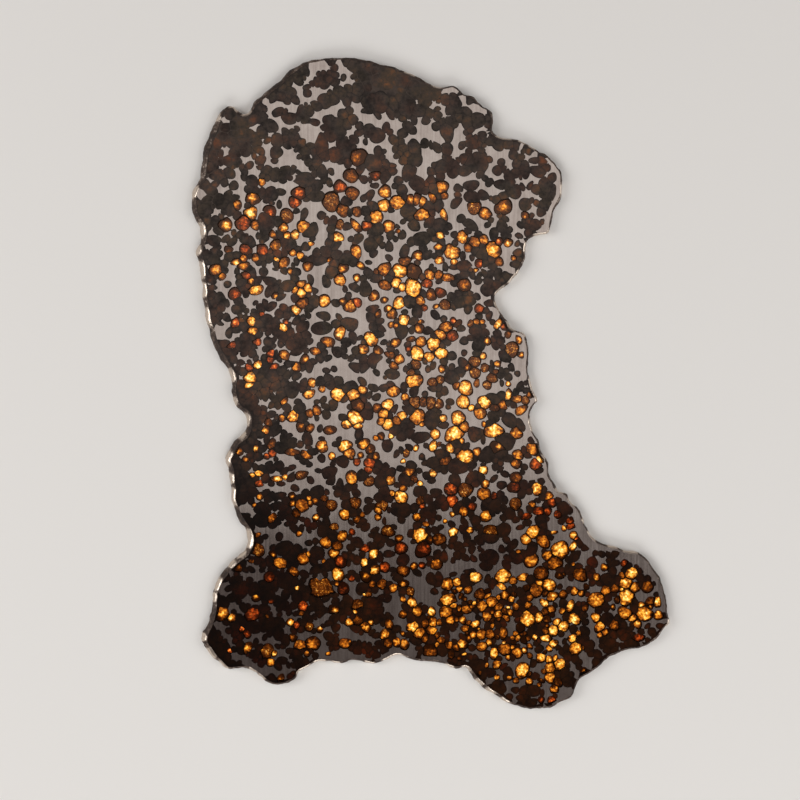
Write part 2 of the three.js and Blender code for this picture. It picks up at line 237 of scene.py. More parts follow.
# Crystals that hardly let light through, the ones that catch the eye: middle and radius, and
# on a long one its stretch and direction
DARK_CRYSTALS = [
    # Crown
    (319, 82, 6.5), (335, 76, 5), (309, 133, 10, 1.2, 80), (329, 121, 6.5), (343, 115, 6),
    (391, 114, 6, 1.3, 120), (377, 136, 8.5), (403, 134, 6, 1.4, 30), (390, 133, 4),
    (395, 150, 4, 1.4, 90), (384, 152, 3), (358, 90, 8), (426, 121, 5), (436, 127, 5),
    (438, 117, 5.5), (447, 132, 9, 1.5, 95), (459, 118, 6), (478, 121, 9, 1.2, 0),
    (466, 133, 3.5), (462, 146, 4.5, 1.2, 60), (414, 148, 8, 1.3, -50), (437, 148, 6, 1.5, -35),
    (431, 181, 5),
    # Right shoulder
    (417, 184, 9, 1.3, -50), (402, 190, 6), (458, 189, 5), (497, 171, 5.5), (501, 163, 4.5),
    (489, 160, 4), (513, 155, 5.5), (524, 170, 8, 1.5, 100), (509, 177, 6), (514, 192, 8),
    (500, 185, 6, 1.3, 0), (471, 186, 7, 1.4, 5), (456, 203, 6, 1.6, 40), (472, 198, 8, 1.4, -15),
    (546, 168, 5), (545, 186, 8, 1.3, 110), (536, 190, 6, 1.4, -40), (541, 212, 5.5),
    (525, 205, 7), (509, 236, 3), (491, 199, 3),
    # Left
    (253, 182, 7), (266, 222, 10, 1.2, 60), (305, 180, 10, 1.4, 0), (316, 196, 8, 1.2, 0),
    (311, 231, 8, 1.5, 45), (306, 247, 5), (329, 244, 5), (322, 216, 5), (331, 229, 5, 1.3, 80),
    (371, 245, 8, 1.2, 80), (270, 291, 6, 1.4, 70), (324, 316, 6, 1.6, -10),
    # Middle
    (402, 235, 5), (448, 227, 4.5, 1.3, 0), (455, 235, 4.5, 1.3, 0), (464, 266, 7, 1.4, 10),
    (350, 324, 8, 1.3, 0), (378, 335, 5, 1.7, 0), (371, 318, 6, 1.4, -60), (428, 331, 5, 1.2, 0),
    (435, 315, 5, 1.3, -60), (459, 302, 7), (468, 310, 4.6), (476, 297, 4.5), (479, 316, 4),
    (489, 316, 4.5, 1.5, 80), (498, 275, 6, 1.4, 90), (484, 263, 5.5), (476, 331, 8, 1.2, -50),
    (478, 346, 7), (464, 353, 3.6), (452, 356, 5), (487, 290, 7), (392, 374, 7, 1.3, 0),
    (375, 361, 9), (452, 377, 8), (460, 372, 6), (433, 388, 5, 1.3, 0), (444, 391, 5),
    (448, 407, 3), (508, 377, 4.6), (505, 356, 7, 1.3, -30), (526, 391, 4), (513, 405, 4),
    (432, 420, 9, 1.3, 95), (402, 436, 6), (420, 437, 8, 1.6, 0), (494, 416, 7),
    (509, 420, 8, 1.4, -45), (505, 441, 10, 1.2, -20), (487, 455, 9), (500, 453, 8),
    (475, 434, 8), (458, 466, 10, 1.4, 10), (444, 469, 5, 1.3, 90), (411, 466, 6), (433, 463, 7),
    (436, 493, 6, 1.2, 0), (436, 505, 4.6), (340, 484, 5, 1.4, 80), (333, 405, 6, 1.2, 60),
    (343, 461, 7), (420, 491, 7, 1.3, 20),
    # Foot
    (524, 467, 4), (524, 485, 6), (495, 506, 8), (552, 524, 5.6, 1.3, 80), (489, 536, 9, 1.4, 0),
    (503, 530, 8), (512, 545, 6, 1.7, 45), (490, 557, 9), (520, 592, 6, 1.3, -60), (592, 562, 6),
    (530, 579, 5), (404, 510, 8), (428, 513, 8, 1.2, 0), (563, 603, 5), (478, 664, 8, 1.5, 0),
    (497, 688, 8, 1.2, 0), (533, 690, 8, 1.5, 0), (588, 645, 7), (567, 657, 5),
    (241, 590, 10, 1.3, 60), (255, 589, 8), (223, 602, 7), (284, 548, 9, 1.4, 20), (317, 553, 8),
    (285, 580, 9), (372, 603, 9, 1.6, 0), (486, 566, 6, 1.3, 0), (596, 552, 4), (612, 571, 5),
    (640, 577, 5), (605, 607, 5), (572, 622, 3),
]
# Open patches of metal, in the photograph's pixels: each runs from one place to another,
# and is so wide
METAL_PATCHES = [
    # Between the rust at the upper left
    (227, 121, 231, 121, 5), (250, 128, 254, 129, 5), (226, 151, 229, 153, 4.5),
    (246, 158, 250, 158, 5), (222, 168, 226, 168, 4.5), (236, 173, 240, 173, 5),
    (251, 172, 256, 173, 5), (209, 180, 213, 180, 4), (232, 180, 236, 181, 4.5),
    # Crown
    (314, 70, 326, 68, 9), (340, 66, 347, 73, 8), (306, 83, 312, 76, 5), (313, 90, 324, 93, 7),
    (325, 91, 343, 86, 3.5), (343, 86, 351, 80, 5), (288, 86, 297, 88, 3.5),
    (297, 88, 304, 98, 5), (302, 102, 313, 101, 5), (283, 108, 298, 108, 4),
    (322, 113, 330, 110, 7), (330, 110, 341, 113, 5), (312, 118, 322, 115, 5),
    (321, 120, 321, 137, 4), (356, 105, 358, 112, 7), (362, 118, 373, 122, 13),
    (346, 136, 355, 131, 6), (366, 93, 382, 88, 4.5), (388, 95, 394, 94, 9),
    (386, 120, 397, 124, 11), (384, 114, 385, 120, 5), (420, 120, 428, 127, 7),
    (408, 138, 426, 133, 10), (428, 132, 439, 140, 10), (366, 147, 384, 145, 6),
    (386, 150, 396, 148, 9), (388, 158, 398, 163, 7), (424, 151, 439, 158, 9),
    (284, 157, 300, 164, 7), (300, 168, 309, 172, 5), (287, 151, 296, 154, 4),
    (326, 165, 343, 169, 5.5), (346, 184, 358, 187, 9), (304, 206, 316, 211, 10),
    (322, 191, 331, 189, 6), (376, 192, 378, 201, 7), (392, 192, 398, 196, 7),
    (410, 190, 419, 195, 7), (402, 177, 406, 182, 5),
    # Right shoulder
    (447, 92, 457, 93, 9), (464, 104, 472, 108, 3), (475, 112, 482, 114, 2.5),
    (425, 108, 432, 109, 4), (441, 108, 446, 118, 4), (458, 130, 461, 139, 8),
    (452, 142, 457, 153, 8), (474, 134, 482, 130, 5), (424, 162, 431, 163, 4),
    (450, 177, 476, 178, 5), (449, 184, 450, 195, 7), (488, 151, 498, 153, 7),
    (495, 158, 498, 163, 5), (505, 161, 510, 168, 7), (488, 176, 497, 175, 5),
    (526, 158, 540, 153, 6), (552, 171, 560, 178, 5), (528, 191, 536, 198, 6),
    (516, 199, 526, 196, 5), (510, 206, 516, 217, 7), (532, 208, 536, 216, 5),
    (519, 181, 525, 184, 5), (464, 191, 484, 188, 7), (486, 190, 496, 194, 6),
    (448, 209, 452, 223, 9), (462, 212, 464, 204, 5), (478, 222, 484, 230, 7),
    (492, 211, 496, 221, 6), (503, 253, 508, 268, 12), (508, 223, 518, 230, 6),
    (508, 242, 516, 232, 4), (513, 212, 518, 219, 5),
    # Upper left
    (263, 105, 290, 107, 3.5), (264, 113, 277, 118, 3.5), (268, 135, 282, 130, 3.5),
    (282, 129, 300, 123, 3.5), (262, 142, 268, 148, 6), (266, 152, 268, 164, 6),
    (226, 150, 230, 156, 4), (244, 160, 254, 161, 5), (250, 157, 252, 153, 3),
    (221, 168, 225, 168, 5), (252, 175, 256, 173, 7), (211, 177, 211, 184, 3),
    (238, 174, 241, 175, 5), (229, 181, 240, 181, 3.5), (198, 190, 203, 197, 4),
    (214, 197, 222, 189, 5), (224, 189, 236, 192, 3.5), (214, 214, 219, 212, 7),
    (244, 184, 242, 196, 6), (240, 205, 244, 216, 6), (255, 207, 266, 206, 6),
    (262, 186, 278, 186, 5), (280, 184, 293, 188, 4), (232, 217, 236, 229, 5),
    (236, 237, 241, 246, 5), (250, 231, 258, 242, 4), (286, 205, 292, 212, 6),
    (298, 217, 303, 222, 4), (313, 216, 318, 226, 7), (298, 237, 302, 246, 6),
    (318, 236, 317, 247, 7), (328, 216, 340, 215, 5), (204, 246, 208, 248, 7),
    (276, 167, 290, 161, 8),
    # Left
    (248, 262, 258, 268, 4.5), (268, 263, 270, 270, 4.5), (231, 271, 235, 284, 8),
    (219, 286, 226, 293, 10), (264, 284, 262, 298, 5), (246, 301, 262, 298, 5),
    (262, 298, 276, 301, 4), (275, 278, 290, 277, 4.5), (288, 298, 291, 304, 7),
    (266, 310, 274, 314, 5), (231, 304, 232, 316, 4), (250, 309, 251, 316, 3),
    (224, 322, 230, 328, 4), (216, 328, 222, 334, 7), (302, 268, 304, 276, 7),
    (315, 266, 319, 276, 7), (314, 284, 320, 288, 5), (324, 293, 338, 296, 11),
    (334, 283, 342, 278, 6), (322, 312, 326, 303, 8), (332, 313, 342, 309, 10),
    (312, 320, 320, 316, 7), (312, 331, 318, 341, 8), (294, 326, 296, 332, 3.5),
    (310, 346, 312, 356, 5), (260, 347, 262, 354, 5), (276, 344, 280, 351, 4),
    (285, 358, 292, 359, 4), (240, 358, 250, 359, 4), (336, 362, 342, 362, 10),
    (304, 376, 316, 374, 9), (290, 382, 300, 381, 3.5), (308, 405, 302, 397, 7),
    (316, 397, 329, 392, 7), (340, 373, 352, 376, 10),
    # Centre
    (354, 218, 360, 218, 5), (322, 228, 326, 240, 5), (336, 215, 346, 217, 5),
    (345, 246, 344, 233, 4), (360, 246, 364, 260, 5), (368, 257, 377, 262, 6),
    (379, 249, 384, 257, 6), (384, 237, 396, 245, 5), (396, 213, 400, 218, 7),
    (404, 227, 413, 234, 7), (430, 241, 434, 252, 4), (410, 248, 416, 252, 5),
    (426, 264, 436, 263, 4), (348, 281, 352, 276, 5), (344, 327, 362, 331, 12),
    (352, 317, 360, 312, 9), (362, 319, 366, 326, 5), (356, 296, 366, 300, 7),
    (374, 341, 386, 335, 8), (386, 326, 392, 332, 6), (396, 341, 403, 350, 11),
    (382, 288, 387, 295, 8), (456, 271, 462, 262, 5), (450, 289, 462, 288, 7),
    (430, 301, 440, 302, 6), (438, 311, 448, 315, 7), (424, 317, 431, 324, 7),
    (433, 331, 440, 322, 5), (456, 313, 472, 316, 8), (472, 308, 476, 303, 6),
    (454, 330, 462, 336, 5), (456, 344, 462, 351, 6), (472, 288, 480, 291, 7),
    (476, 303, 484, 305, 5), (488, 324, 492, 331, 6), (494, 312, 500, 317, 7),
    (470, 263, 480, 269, 4), (452, 223, 462, 225, 5),
    # Waist
    (486, 351, 496, 356, 13), (456, 351, 460, 357, 5), (483, 374, 487, 376, 6),
    (498, 388, 495, 380, 6), (512, 384, 522, 377, 8), (516, 358, 519, 365, 6),
    (521, 344, 523, 354, 5), (470, 394, 477, 388, 5), (366, 375, 382, 381, 9),
    (386, 367, 384, 358, 5), (399, 373, 404, 379, 9), (402, 356, 408, 362, 5),
    (379, 392, 384, 397, 5), (396, 400, 402, 408, 7), (338, 404, 346, 411, 9),
    (331, 420, 341, 426, 7), (364, 424, 374, 432, 10), (422, 371, 428, 380, 7),
    (428, 358, 436, 362, 5), (446, 396, 453, 386, 9), (444, 410, 452, 424, 9),
    (474, 399, 472, 420, 5), (436, 425, 444, 441, 9), (422, 444, 428, 438, 5),
    (398, 446, 412, 440, 7), (410, 458, 419, 464, 8), (385, 454, 396, 466, 8),
    (420, 475, 424, 481, 5), (420, 491, 432, 487, 9), (440, 484, 446, 476, 9),
    (514, 446, 524, 441, 11), (508, 428, 512, 412, 4), (485, 444, 494, 447, 6),
    (478, 462, 476, 470, 5), (490, 472, 498, 474, 5), (506, 468, 513, 471, 6),
    (526, 420, 528, 431, 6), (396, 391, 399, 398, 4), (452, 356, 448, 364, 5),
    # Lower left of the waist
    (262, 401, 266, 402, 6), (268, 409, 279, 410, 4), (296, 397, 291, 402, 5),
    (282, 424, 291, 430, 9), (294, 434, 302, 436, 4), (276, 440, 280, 436, 5),
    (319, 407, 323, 424, 5), (326, 436, 332, 446, 4), (332, 402, 338, 410, 7),
    (338, 432, 352, 436, 9), (283, 456, 294, 462, 8), (300, 468, 308, 474, 4),
    (316, 462, 321, 466, 5), (327, 452, 336, 460, 4), (254, 464, 262, 461, 3),
    (268, 474, 283, 476, 2.5), (264, 486, 280, 490, 5), (281, 489, 292, 484, 5),
    (296, 482, 310, 488, 5), (300, 492, 306, 486, 4), (318, 481, 330, 486, 4),
    (305, 514, 316, 508, 8), (331, 490, 334, 501, 6), (336, 483, 342, 472, 5),
    (333, 512, 337, 520, 7), (245, 506, 254, 514, 8), (282, 526, 291, 541, 9),
    (358, 466, 364, 462, 4),
    # Ankle
    (343, 526, 357, 532, 11), (362, 534, 368, 538, 6), (364, 494, 374, 487, 5),
    (367, 517, 374, 524, 7), (387, 514, 394, 518, 6), (398, 524, 406, 530, 7),
    (404, 532, 407, 539, 6), (409, 500, 418, 490, 6), (410, 512, 412, 526, 4),
    (441, 488, 446, 495, 6), (444, 513, 457, 519, 10), (446, 528, 444, 540, 8),
    (461, 537, 456, 528, 5), (479, 508, 486, 524, 7), (386, 560, 396, 564, 9),
    (408, 543, 414, 551, 5), (388, 574, 394, 582, 6), (411, 578, 424, 588, 10),
    (424, 577, 430, 570, 5), (450, 567, 478, 564, 9), (447, 548, 452, 556, 4),
    (396, 596, 398, 612, 11), (416, 592, 430, 600, 11), (385, 604, 394, 612, 9),
    (354, 567, 360, 572, 6), (344, 572, 350, 567, 4), (344, 596, 352, 592, 4),
    (396, 621, 404, 626, 7), (374, 627, 381, 628, 6), (362, 637, 373, 641, 8),
    (346, 634, 356, 638, 6),
    # Right of the ankle
    (528, 462, 534, 475, 8), (496, 482, 500, 478, 3), (506, 493, 512, 500, 8),
    (533, 504, 540, 507, 4), (549, 516, 556, 518, 4), (562, 531, 568, 524, 9),
    (556, 537, 566, 542, 6), (508, 523, 515, 537, 9), (484, 547, 500, 543, 4),
    (513, 571, 528, 567, 7), (536, 566, 541, 560, 7), (549, 573, 556, 581, 7),
    (566, 581, 576, 583, 5), (585, 558, 589, 551, 6), (595, 556, 599, 563, 10),
    (600, 568, 598, 579, 5), (590, 590, 600, 588, 5), (606, 606, 612, 601, 6),
    (616, 604, 620, 608, 4), (641, 596, 650, 597, 5), (541, 600, 558, 600, 4),
    (556, 612, 560, 604, 5), (519, 586, 527, 580, 6), (568, 598, 584, 597, 5),
    # Toe and sole
    (590, 612, 591, 632, 7), (594, 640, 597, 647, 5), (578, 653, 586, 656, 7),
    (584, 663, 592, 668, 6), (536, 668, 541, 675, 6), (545, 686, 549, 703, 6),
    (562, 690, 571, 692, 9), (574, 666, 575, 677, 4), (636, 628, 642, 624, 7),
    (647, 618, 654, 626, 7), (661, 621, 668, 624, 5), (408, 641, 413, 650, 7),
    (432, 646, 436, 652, 4), (452, 637, 460, 630, 6), (466, 594, 472, 598, 5),
    (508, 623, 514, 628, 5), (491, 664, 500, 671, 7), (480, 681, 493, 680, 6),
    (503, 659, 510, 664, 5), (468, 618, 476, 614, 4), (500, 645, 497, 640, 3),
    (564, 654, 570, 650, 4), (440, 591, 436, 604, 4),
    # Heel
    (258, 529, 274, 532, 9), (264, 545, 274, 540, 9), (262, 554, 266, 552, 7),
    (300, 537, 317, 535, 8), (224, 576, 232, 571, 5), (222, 584, 226, 596, 7),
    (244, 577, 246, 590, 6), (248, 573, 260, 578, 5), (282, 586, 278, 594, 4),
    (308, 562, 304, 568, 6), (312, 573, 308, 580, 4), (330, 600, 326, 606, 4),
    (341, 594, 352, 588, 4), (235, 604, 240, 612, 6), (246, 600, 260, 603, 5),
    (272, 604, 276, 612, 4), (212, 624, 222, 626, 8), (250, 637, 262, 634, 4),
    (264, 641, 280, 642, 4), (292, 616, 300, 618, 4), (286, 630, 290, 634, 4),
    (300, 640, 304, 636, 4), (318, 623, 325, 618, 7), (320, 635, 330, 628, 6),
    (322, 646, 330, 654, 8), (340, 632, 348, 627, 7), (334, 652, 350, 654, 6),
    (264, 670, 286, 672, 8), (236, 654, 246, 662, 7), (226, 634, 232, 644, 6),
    (250, 664, 258, 668, 5), (212, 610, 216, 620, 5), (284, 650, 290, 660, 5),
]
# Worn places on the rim where bright iron shows: the middle and how far it runs
WORN_RIM = [
    (236, 105, 9), (247, 113, 6), (216, 117, 6), (192, 192, 9), (199, 231, 9), (196, 250, 8),
    (199, 270, 12), (202, 290, 9), (206, 318, 12), (229, 376, 9), (233, 402, 7), (244, 420, 9),
    (240, 434, 7), (225, 458, 12), (230, 478, 7), (232, 498, 11), (247, 538, 12), (240, 552, 7),
    (231, 563, 6), (216, 582, 9), (213, 597, 6), (203, 637, 5), (210, 654, 8), (223, 665, 6),
    (254, 667, 5), (262, 676, 5), (302, 667, 10), (320, 661, 7), (336, 664, 6), (392, 656, 12),
    (370, 661, 6), (449, 667, 6), (466, 668, 6), (479, 682, 5), (490, 691, 7), (504, 701, 6),
    (437, 85, 6), (410, 72, 8), (503, 138, 9), (522, 142, 5), (532, 147, 5), (562, 190, 7),
    (541, 233, 10), (526, 248, 6), (513, 276, 10), (500, 292, 8), (499, 306, 8), (512, 326, 8),
    (524, 332, 6), (531, 385, 10), (535, 397, 6), (532, 425, 9), (541, 458, 5), (559, 491, 6),
    (571, 502, 7), (585, 520, 5), (590, 537, 8), (612, 546, 7), (630, 551, 9), (668, 623, 5),
]


def on_face(pixel_x, pixel_y):
    """A place in the photograph as millimetres on the slice's face."""
    return ((pixel_x - (PHOTO_LEFT + PHOTO_RIGHT) / 2) * PIXEL,
            ((PHOTO_TOP + PHOTO_BOTTOM) / 2 - pixel_y) * PIXEL)


# How the crystals change over the slice: a place in the photograph and how far its say
# reaches, then the share of the face that isn't metal, the crystals' usual radius in pixels,
# the share that glow, and how warm the glow is, from gold at 0 to red at 1
REGIONS = [
    (232, 140, 34, 1.00, 8.0, 0.00, 0.5),
    (285, 95, 30, 0.95, 7.0, 0.00, 0.5),
    (335, 75, 26, 0.95, 7.0, 0.00, 0.5),
    (395, 82, 32, 1.00, 11.0, 0.00, 0.5),
    (432, 98, 22, 1.00, 11.0, 0.00, 0.5),
    (330, 130, 34, 0.94, 7.5, 0.00, 0.8),
    (395, 135, 30, 0.95, 7.5, 0.00, 0.8),
    (445, 135, 32, 0.92, 7.5, 0.00, 0.8),
    (478, 155, 24, 0.93, 7.5, 0.00, 0.5),
    (410, 168, 30, 0.92, 7.5, 0.00, 0.8),
    (530, 175, 36, 0.9, 7.5, 0.00, 0.5),
    (215, 190, 26, 1.00, 9.0, 0.01, 0.8),
    (270, 165, 30, 0.92, 8.0, 0.00, 0.8),
    (290, 215, 34, 0.84, 7.0, 0.02, 0.3),
    (350, 215, 34, 0.84, 7.0, 0.04, 0.3),
    (405, 225, 30, 0.85, 7.5, 0.04, 0.3),
    (460, 200, 30, 0.88, 7.5, 0.03, 0.4),
    (500, 225, 26, 0.88, 7.0, 0.03, 0.5),
    (225, 255, 28, 0.92, 6.5, 0.02, 0.6),
    (275, 275, 34, 0.94, 6.0, 0.07, 0.4),
    (335, 280, 34, 0.86, 7.0, 0.06, 0.3),
    (395, 285, 34, 0.87, 7.0, 0.15, 0.3),
    (455, 280, 34, 0.87, 6.0, 0.05, 0.4),
    (235, 325, 30, 0.95, 6.0, 0.03, 0.5),
    (290, 345, 34, 0.95, 6.0, 0.04, 0.4),
    (355, 350, 34, 0.86, 6.5, 0.08, 0.3),
    (415, 350, 34, 0.86, 6.5, 0.18, 0.2),
    (480, 340, 34, 0.84, 6.0, 0.08, 0.2),
    (515, 375, 22, 0.84, 6.0, 0.05, 0.2),
    (272, 395, 34, 1, 7.0, 0.04, 0.4),
    (330, 410, 34, 0.85, 6.5, 0.07, 0.3),
    (395, 415, 34, 0.85, 6.5, 0.12, 0.3),
    (465, 400, 34, 0.84, 6.5, 0.20, 0.2),
    (510, 445, 30, 0.85, 6.5, 0.07, 0.3),
    (255, 470, 30, 1, 7.0, 0.05, 0.4),
    (320, 475, 34, 0.86, 6.5, 0.05, 0.4),
    (390, 480, 36, 0.85, 6.5, 0.05, 0.4),
    (455, 475, 34, 0.86, 6.5, 0.06, 0.3),
    (515, 505, 30, 0.87, 6.0, 0.05, 0.6),
    (275, 530, 32, 0.97, 6.5, 0.04, 0.6),
    (345, 540, 36, 0.89, 6.0, 0.06, 0.5),
    (415, 545, 36, 0.85, 6.0, 0.06, 0.4),
    (480, 540, 34, 0.865, 6.5, 0.04, 0.4),
    (575, 520, 16, 0.85, 5.5, 0.04, 0.8),
    (540, 560, 30, 0.87, 6.0, 0.13, 0.2),
    (605, 560, 24, 0.85, 6.0, 0.04, 0.3),
    (245, 595, 32, 0.93, 6.0, 0.01, 0.6),
    (315, 600, 36, 0.94, 6.0, 0.02, 0.6),
    (390, 605, 36, 0.95, 6.0, 0.07, 0.4),
    (455, 600, 34, 0.88, 5.0, 0.42, 0.1),
    (520, 610, 34, 0.87, 5.0, 0.50, 0.0),
    (585, 600, 30, 0.88, 6.0, 0.20, 0.2),
    (640, 600, 28, 0.93, 6.0, 0.22, 0.2),
    (225, 645, 24, 0.92, 6.0, 0.02, 0.5),
    (275, 660, 26, 0.92, 6.0, 0.05, 0.2),
    (340, 645, 34, 0.92, 6.0, 0.04, 0.6),
    (410, 640, 34, 0.92, 5.5, 0.22, 0.3),
    (470, 645, 30, 0.9, 5.0, 0.34, 0.1),
    (540, 650, 34, 0.87, 5.0, 0.42, 0.1),
    (600, 645, 26, 0.93, 6.0, 0.03, 0.4),
    (520, 692, 28, 0.89, 6.0, 0.10, 0.3),
    (580, 680, 20, 0.89, 6.0, 0.10, 0.3),
]
# How fast a region's say fades with distance
REGION_FADE = 2.5
REGION_PLACES = np.array([on_face(x, y) for x, y, *_ in REGIONS])
REGION_REACH = np.array([row[2] for row in REGIONS]) * PIXEL
REGION_TRAITS = np.array([row[3:] for row in REGIONS])

# Where the metal runs clear of crystals along the rim, in pixels, and how wide it is there
CLEAN_RIM = [
    ((545, 190), 40, 4), ((548, 225), 16, 6), ((530, 350), 34, 3), ((540, 420), 30, 4),
    ((560, 480), 30, 7), ((590, 530), 36, 11), ((640, 560), 30, 9), ((665, 590), 26, 5),
    ((565, 700), 20, 3), ((450, 92), 12, 3), ((345, 655), 32, 5), ((395, 652), 26, 5),
    ((435, 658), 18, 4),
]
# How far crystals keep from the rim everywhere else, in millimetres
LEAST_CLEAN = 0.32
# Where the crust has eaten in from the rim and left no bright metal, in pixels
RUST_PATCHES = [
    ((395, 80), 40, 15), ((425, 88), 20, 14), ((232, 140), 26, 30), ((212, 190), 10, 22),
]


def linear(code):
    """An sRGB hex colour as linear light, with full alpha."""
    parts = [int(code[i:i + 2], 16) / 255 for i in (1, 3, 5)]
    return [c / 12.92 if c <= 0.04045 else ((c + 0.055) / 1.055) ** 2.4 for c in parts] + [1.0]


class PallasiteSettings(bpy.types.PropertyGroup):
    """Sizes and colours of the slice and its light."""

    seam: bpy.props.FloatProperty(
        name="Seam", description="Width of the dark seam between two crystals that touch",
        default=0.13 * MM, unit="LENGTH")
    outline_step: bpy.props.FloatProperty(
        name="Outline step", description="Spacing of the points round a crystal",
        default=0.69 * MM, unit="LENGTH")
    clear_taper: bpy.props.FloatProperty(
        name="Clear taper",
        description="A clear crystal's size at the back over its size in front",
        default=0.88, subtype="FACTOR")
    dark_taper: bpy.props.FloatProperty(
        name="Dark taper",
        description="A dark crystal's size at the back over its size in front",
        default=0.95, subtype="FACTOR")
    pitting: bpy.props.FloatProperty(
        name="Pitting", description="Deepest pit in the weathered rim",
        default=0.45 * MM, unit="LENGTH")
    panel_light: bpy.props.FloatProperty(
        name="Panel brightness", description="Brightness of the light panel under the slice",
        default=1.5)
    panel_colour: bpy.props.FloatVectorProperty(
        name="Panel colour", description="Colour of the light panel under the slice",
        default=linear("#fff6e8")[:3], subtype="COLOR")
    floor_colour: bpy.props.FloatVectorProperty(
        name="Floor colour", description="Colour of the paper that the slice lies on",
        default=linear("#f2f0ec")[:3], subtype="COLOR")


# A glow fades out somewhat beyond the reach given for it
GLOW_SPREAD = 1.18
FULL_TURN = 2 * math.pi
# A crystal's outline swells in waves: how many go round it, and the least and the most that they
# swell it, as shares of its radius
LOBES = ((2, 0.0, 0.09), (3, 0.01, 0.09), (5, 0.0, 0.03))
# How far the glow's middle lies from the crystal's, as shares of the room that it has there
OFF_CENTRE = (0.1, 0.5)
# In a dark crystal, that room and the reach of its brown heart, as shares of its radius
DARK_ROOM = 0.4
DARK_REACH = (0.5, 0.9)


class Crystal:
    """One olivine crystal: an uneven oval on the face, in millimetres, and what lights it."""

    def __init__(self, middle, radius, draw, tint, glow, stretch, turn, tone):
        self.middle = np.array(middle)
        self.size = radius
        self.axes = (radius * math.sqrt(stretch), radius / math.sqrt(stretch))
        self.turn = math.radians(turn)
        self.tint = tint
        self.glow = glow
        self.tone = tone
        self.lobes = [(fold, draw.uniform(least, most), draw.uniform(0, FULL_TURN))
                      for fold, least, most in LOBES]
        room = radius - glow if glow else radius * DARK_ROOM
        way = draw.uniform(0, FULL_TURN)
        aside = room * draw.uniform(*OFF_CENTRE)
        self.core = self.middle + aside * np.array([math.cos(way), math.sin(way)])
        self.core_reach = glow * GLOW_SPREAD if glow else radius * draw.uniform(*DARK_REACH)

    def shape(self, angle):
        """How far the outline swells from the plain oval at an angle."""
        return 1 + sum(high * np.cos(fold * angle + start) for fold, high, start in self.lobes)

    def level(self, points):
        """How far points lie outside the crystal, about, and below zero inside it."""
        away = points - self.middle
        cos, sin = math.cos(self.turn), math.sin(self.turn)
        along = (away[..., 0] * cos + away[..., 1] * sin) / self.axes[0]
        across = (away[..., 1] * cos - away[..., 0] * sin) / self.axes[1]
        reach = np.hypot(along, across)
        return (reach / self.shape(np.arctan2(across, along)) - 1) * self.size

    def outline(self, count):
        """Points round the whole outline, anticlockwise."""
        angle = np.arange(count) * (FULL_TURN / count)
        swell = self.shape(angle)
        along = swell * self.axes[0] * np.cos(angle)
        across = swell * self.axes[1] * np.sin(angle)
        cos, sin = math.cos(self.turn), math.sin(self.turn)
        return self.middle + np.stack([along * cos - across * sin, along * sin + across * cos], 1)


# The rim, from the CAD plate's own mesh


def welded_plate():
    """The plate's vertices in millimetres, each once, and its triangles."""
    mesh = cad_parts["slice"].data
    loose = np.empty(len(mesh.vertices) * 3)
    mesh.vertices.foreach_get("co", loose)
    corners = np.empty(len(mesh.loops), int)
    mesh.loops.foreach_get("vertex_index", corners)
    places, welded = np.unique(np.round(loose.reshape(-1, 3) / MM, 3), axis=0,
                               return_inverse=True)
    return places, welded.ravel()[corners].reshape(-1, 3)


def plate_rings():
    """The rim's rings from the back face up, in step with each other, anticlockwise."""
    places, triangles = welded_plate()
    heights = np.unique(np.round(places[:, 2], 2))
    height_of = np.searchsorted(heights, np.round(places[:, 2], 2))
    following, above = {}, {}
    for triangle in triangles:
        levels = height_of[triangle]
        if levels.min() == levels.max():
            continue
        for turn in range(3):
            a, b, c = np.roll(triangle, -turn)
            if height_of[a] == height_of[b]:
                if height_of[c] > height_of[a]:
                    above[b] = c
                    if height_of[a] == 0:
                        following[b] = a
                else:
                    following[a] = b
    first = min(following, key=lambda v: (height_of[v], v))
    order, v = [], first
    while not order or v != first:
        order.append(v)
        v = following[v]
    rings = [order]
    while len(rings) < len(heights):
        rings.append([above[v] for v in rings[-1]])
    rings = [places[ring] for ring in rings]
    x, y = rings[0][:, 0], rings[0][:, 1]
    anticlockwise = np.sum(x * np.roll(y, -1) - np.roll(x, -1) * y) > 0
    return rings if anticlockwise else [ring[::-1] for ring in rings]


def smooth_ring(ring, parts):
    """A ring with each of its steps cut into parts along a smooth curve through its points."""
    before, after, beyond = np.roll(ring, 1, 0), np.roll(ring, -1, 0), np.roll(ring, -2, 0)
    pieces = []
    for part in range(parts):
        t = part / parts
        pieces.append(ring + 0.5 * t * ((after - before) + t * (
            (2 * before - 5 * ring + 4 * after - beyond) + t * (
                3 * (ring - after) + beyond - before))))
    return np.stack(pieces, 1).reshape(-1, 3)


def outward(ring, reach=3):
    """The way out of the plate at each point of a ring, level with the face."""
    along = np.roll(ring, -reach, 0) - np.roll(ring, reach, 0)
    out = np.stack([along[:, 1], -along[:, 0]], 1)
    return out / np.linalg.norm(out, axis=1)[:, None]


# How many parts each step of the CAD plate's rings is cut into
RIM_PARTS = 3
# Rings of the weathered rim: how far up between the back face and the front, how deep pits go,
# and how far in the worn edge of the front face is rounded, in millimetres
RIM_LEVELS = [(0.0, 0.35, 0.0), (0.12, 0.9, 0.0), (0.3, 1.0, 0.0), (0.5, 1.0, 0.0),
              (0.7, 1.0, 0.0), (0.86, 0.9, 0.0), (0.93, 0.7, 0.05), (0.98, 0.5, 0.18),
              (1.0, 0.4, 0.36)]
# How wide the rim's pits and the chips on them are, in millimetres, and how deep they go on the
# whole and by themselves, as shares of the deepest
PIT_WIDTH = 2.4
CHIP_WIDTH = 0.8
USUAL_DEPTH = 0.4
PIT_DEPTH = 0.7
CHIP_DEPTH = 0.6


